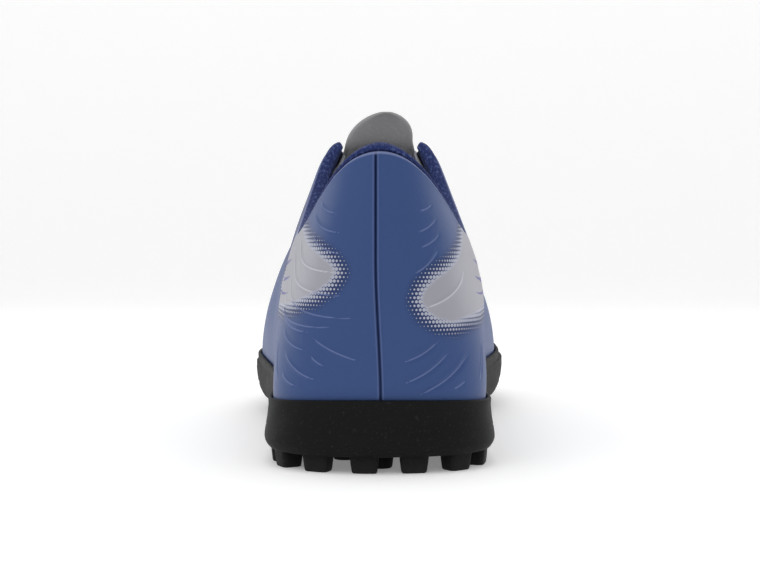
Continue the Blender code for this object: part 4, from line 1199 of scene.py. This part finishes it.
RUBBER = rubber_finish()
for part in (outward(sole_cup()), outward(lug_set())):
    part.data.materials.append(RUBBER)
    part.data.set_sharp_from_angle(angle=math.radians(50))
    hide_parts("outsole")
    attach(part, "root")

# Tongue: padded knit over foam, sewn in at the throat's end and free above, with a
# turned binding round its edge.
TONGUE_WALL, TONGUE_HEIGHT, TONGUE_WIDTH = 3.0 * MM, 106.5 * MM, 46.0 * MM
TONGUE_TILT = 2.4 * MM
TONGUE_HALF = spline((10.2, 11.0, 12.0, 13.0, 15.0, 17.0, 18.6), (0.49, 0.64, 0.86, 0.94, 0.78, 0.56, 0.42))


def bridges(ribs, depth):
    """Curves over the throat, a cubic between each rib's two top parts; and lengths from the middle."""
    ribs = np.asarray(ribs, float)[:, None]
    shares = np.linspace(0.45, 1, 40)
    right = last(ribs, shares, depth)
    left = last(-ribs, shares, depth)
    pull = 0.22 * np.linalg.norm(right[:, -1] - left[:, -1], axis=-1)[:, None, None]
    a = right[:, -1:] + unit(right[:, -1:] - right[:, -3:-2]) * pull
    b = left[:, -1:] + unit(left[:, -1:] - left[:, -3:-2]) * pull
    s = np.linspace(0, 1, 25)[1:-1, None]
    over = (1 - s) ** 3 * left[:, -1:] + 3 * s * (1 - s) ** 2 * b
    over = over + 3 * s * s * (1 - s) * a + s**3 * right[:, -1:]
    paths = np.concatenate([left, over, right[:, ::-1]], axis=1)
    reach = np.concatenate([np.zeros((len(ribs), 1)), np.cumsum(steps_along(paths, 1), axis=1)], axis=1)
    return paths, reach - reach[:, -1:] / 2


def over_throat(ribs, reaches, depth):
    """Points of the bridges at signed distances from their middles, one row of them a rib."""
    paths, along = bridges(ribs, depth)
    rows = zip(reaches, along, paths)
    return np.array([[np.interp(reach, places, path[:, k]) for k in range(3)] for reach, places, path in rows])


def soften(rows, passes):
    """Moves each inner row a quarter of the way to both neighbours, again and again."""
    for _ in range(passes):
        rows[1:-1] = (rows[:-2] + 2 * rows[1:-1] + rows[2:]) / 4
    return rows


def tongue_face():
    """Front of the tongue: bridges under the eyestay, then a blade whose width follows a round end."""
    across = np.linspace(-1, 1, 61)
    ribs = np.concatenate([np.linspace(18.6, 17.6, 10), np.linspace(17.6, 10.2, 62)[1:]])
    reaches = TONGUE_WIDTH / 2 * TONGUE_HALF(ribs)[:, None] * across
    rows = list(over_throat(ribs, reaches, WALL + 3 * GAP).transpose(0, 2, 1))
    base = rows[-1]
    middle = base[len(across) // 2]
    climb = TONGUE_HEIGHT - middle[2]
    for share in np.sin(np.linspace(0, math.pi / 2, 46))[1:-1] * 0.988:
        wide = (1 - share**2) ** 0.55
        row = base.copy()
        row[:, 0] = middle[0] + TONGUE_TILT * share + (base[:, 0] - middle[0]) * wide
        back = climb * 0.55 * (share - 0.3 * share**2)
        row[:, 1] = middle[1] + (base[:, 1] - middle[1]) * (1 - share) - back
        row[:, 2] = middle[2] + (base[:, 2] - middle[2]) * (1 - share) * 0.9 + climb * share
        rows.append(row)
    return soften(np.array(rows), 12), across


def tongue_body():
    """Padded body: its back stands behind the face by the wall, which thins out to both edges."""
    face, across = tongue_face()
    normal = unit(np.cross(np.gradient(face, axis=1), np.gradient(face, axis=0)))
    thick = TONGUE_WALL * (0.42 + 0.58 * np.sqrt(1 - across**4))
    front = face + normal * (0.1 * MM)
    back = face + normal * thick[None, :, None]
    sections = np.concatenate([front, back[:, ::-1]], axis=1)
    return sections, face, back


def tongue_binding(face, back):
    """Turned edge: a flattened tube round the blade's rim, its middle on the tongue's mid thickness."""
    first, inset = 60, 4
    middle = (face + back) / 2

    def round_rim(grid, k):
        return np.concatenate([grid[first:, k], grid[-1 - k, 1:-1], grid[first:, -1 - k][::-1]])

    rim = round_rim(middle, 0)
    rows = (rim, round_rim(back - face, 0), round_rim(middle, inset) - rim)
    gone = run_length(rim)
    even = np.linspace(0, gone[-1], 260)
    rim, thick, inner = (np.stack([np.interp(even, gone, row[:, k]) for k in range(3)], -1) for row in rows)
    rim, thick, inner = soften(rim, 6), soften(thick, 20), soften(inner, 30)
    along = unit(np.gradient(rim, axis=0))
    out = unit(thick - along * np.sum(along * thick, axis=-1, keepdims=True))
    side = unit(np.cross(along, out))
    side = side * np.sign(np.sum(side * inner, axis=-1, keepdims=True))
    turn = np.linspace(0, 2 * math.pi, 21)[:-1, None, None]
    ring = rim + 1.25 * MM * side + np.sin(turn) * 1.0 * MM * out + np.cos(turn) * 1.35 * MM * side
    return ring.transpose(1, 0, 2)


TONGUE_CLOTH = cloth_finish(
    "tongue_knit", (0.36, 0.36, 0.37, 1), (0.50, 0.50, 0.52, 1), 0.7 * MM, 0.6 * MM, flecks=0.2, dark=0.7
)
BINDING = cloth_finish(
    "tongue_binding", (0.44, 0.44, 0.45, 1), (0.60, 0.60, 0.62, 1), 0.6 * MM, 0.6 * MM, flecks=0.2, dark=0.75
)
sections, tongue_front, tongue_back = tongue_body()
tongue = outward(closed_sweep("tongue_blade", sections, TONGUE_CLOTH))
binding = outward(closed_sweep("tongue_edge", tongue_binding(tongue_front, tongue_back), BINDING))
for part in (tongue, binding):
    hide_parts("tongue")
    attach(part, "root")

# Laces: two strands of flat woven lace, crossed from the lowest eyelets to the top
# ones: over the eyestay, over the tongue, under the other eyestay and up its hole.
LACE_WIDTH, LACE_WALL = 6.0 * MM, 1.2 * MM


def eyelet_reach(i, side):
    """Rib number of an eyelet, and its signed distance from the throat's middle on the bridge there."""
    rib, share = eyelet_place(i, side)
    path, along = bridges([abs(rib)], 0.0)
    spot = last(rib, share, 0.0)
    return abs(rib), along[0, np.argmin(np.linalg.norm(path[0] - spot, axis=-1))]


EYELETS = {(i, side): eyelet_reach(i, side) for i in range(EYELET_PAIRS) for side in (-1, 1)}


def strand(side, crossing):
    """Path of one strand from the lowest eyelet to the top one: ribs, reaches and depths under the face."""
    above, below, on_tongue = -1.35 * MM, WALL + 0.75 * MM, 0.9 * MM
    rows = [(*EYELETS[EYELET_PAIRS - 1, side], below), (*EYELETS[EYELET_PAIRS - 1, side], 0.5 * MM)]
    for i in range(EYELET_PAIRS - 1, 0, -1):
        (rib, reach), (next_rib, next_reach) = EYELETS[i, side], EYELETS[i - 1, -side]
        over = (i + crossing) % 2
        crossed = on_tongue - (1.5 * MM if over else 0)
        depths = ((0.10, above), (0.24, above), (0.38, on_tongue - 0.9 * MM), (0.5, crossed))
        depths += ((0.62, on_tongue), (0.74, on_tongue + 0.6 * MM), (0.84, below), (0.95, below))
        for share, depth in depths:
            rows.append((rib + (next_rib - rib) * share, reach + (next_reach - reach) * share, depth))
        rows += [(next_rib, next_reach, WALL), (next_rib, next_reach, 0.2 * MM)]
        side = -side
    return np.array(rows)


def lace_sections(side, crossing):
    """Flat oval sections along a strand; they gather to half their width where they pass a hole."""
    rows = round_path(strand(side, crossing), 420, closed=False)
    middle = np.array([over_throat([rib], [[reach]], depth)[0, :, 0] for rib, reach, depth in rows])
    lifted = np.array([over_throat([rib], [[reach]], depth - 0.5 * MM)[0, :, 0] for rib, reach, depth in rows])
    middle = soften(middle, 4)
    out = unit(lifted - middle)
    along = unit(np.gradient(middle, axis=0))
    flat = along - out * np.sum(along * out, axis=-1, keepdims=True)
    heading = np.cross(out, flat)
    sign = 1.0
    for k in range(len(heading)):
        if k and np.dot(heading[k] * sign, heading[k - 1]) < 0:
            sign = -sign
        heading[k] = heading[k] * sign
    across = unit(soften(heading, 10))
    across = unit(across - along * np.sum(along * across, axis=-1, keepdims=True))
    normal = np.cross(across, along)
    holes = np.array([last(*eyelet_place(i, s), 0.8 * MM) for i in range(EYELET_PAIRS) for s in (-1, 1)])
    near = np.linalg.norm(middle[:, None] - holes[None], axis=-1).min(axis=1)
    gather = ease(near / (4.5 * MM))[:, None, None]
    wide = LACE_WIDTH / 2 * (0.56 + 0.44 * gather)
    deep = LACE_WALL / 2 * (1.35 - 0.35 * gather)
    turn = np.linspace(0, 2 * math.pi, 25)[:-1][None, :, None]
    a = np.sign(np.cos(turn)) * np.abs(np.cos(turn)) ** 0.6
    b = np.sign(np.sin(turn)) * np.abs(np.sin(turn)) ** 0.8
    return middle[:, None] + across[:, None] * a * wide + normal[:, None] * b * deep


def lace_finish():
    """Woven lace: diagonal threads both ways, the higher of two bands of waves, with painted shade between the
    threads.
    """
    made, tree, shader = new_material("woven_lace")
    u, v = map_pair(tree, "laid_flat")
    threads = []
    for lean in (1.0, -1.0):
        phase = calc(tree, "MULTIPLY", calc(tree, "MULTIPLY_ADD", v, lean, u), math.pi / (0.9 * MM))
        threads.append(calc(tree, "ABSOLUTE", calc(tree, "SINE", phase)))
    weave = calc(tree, "MAXIMUM", *threads)
    # Painted shade: the grooves between the threads are painted darker than their crests.
    colour = blend_colour(tree, weave, (0.16, 0.17, 0.20, 1), (0.52, 0.53, 0.57, 1))
    tree.links.new(colour, shader.inputs["Base Color"])
    tree.links.new(bump(tree, weave, 0.15 * MM, 0.8), shader.inputs["Normal"])
    shader.inputs["Roughness"].default_value = 0.85
    return made


LACE = lace_finish()
for name, side, crossing in (("lace_outer", -1, 0), ("lace_inner", 1, 1)):
    part = outward(closed_sweep(name, lace_sections(side, crossing), LACE))
    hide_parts("laces")
    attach(part, "root")
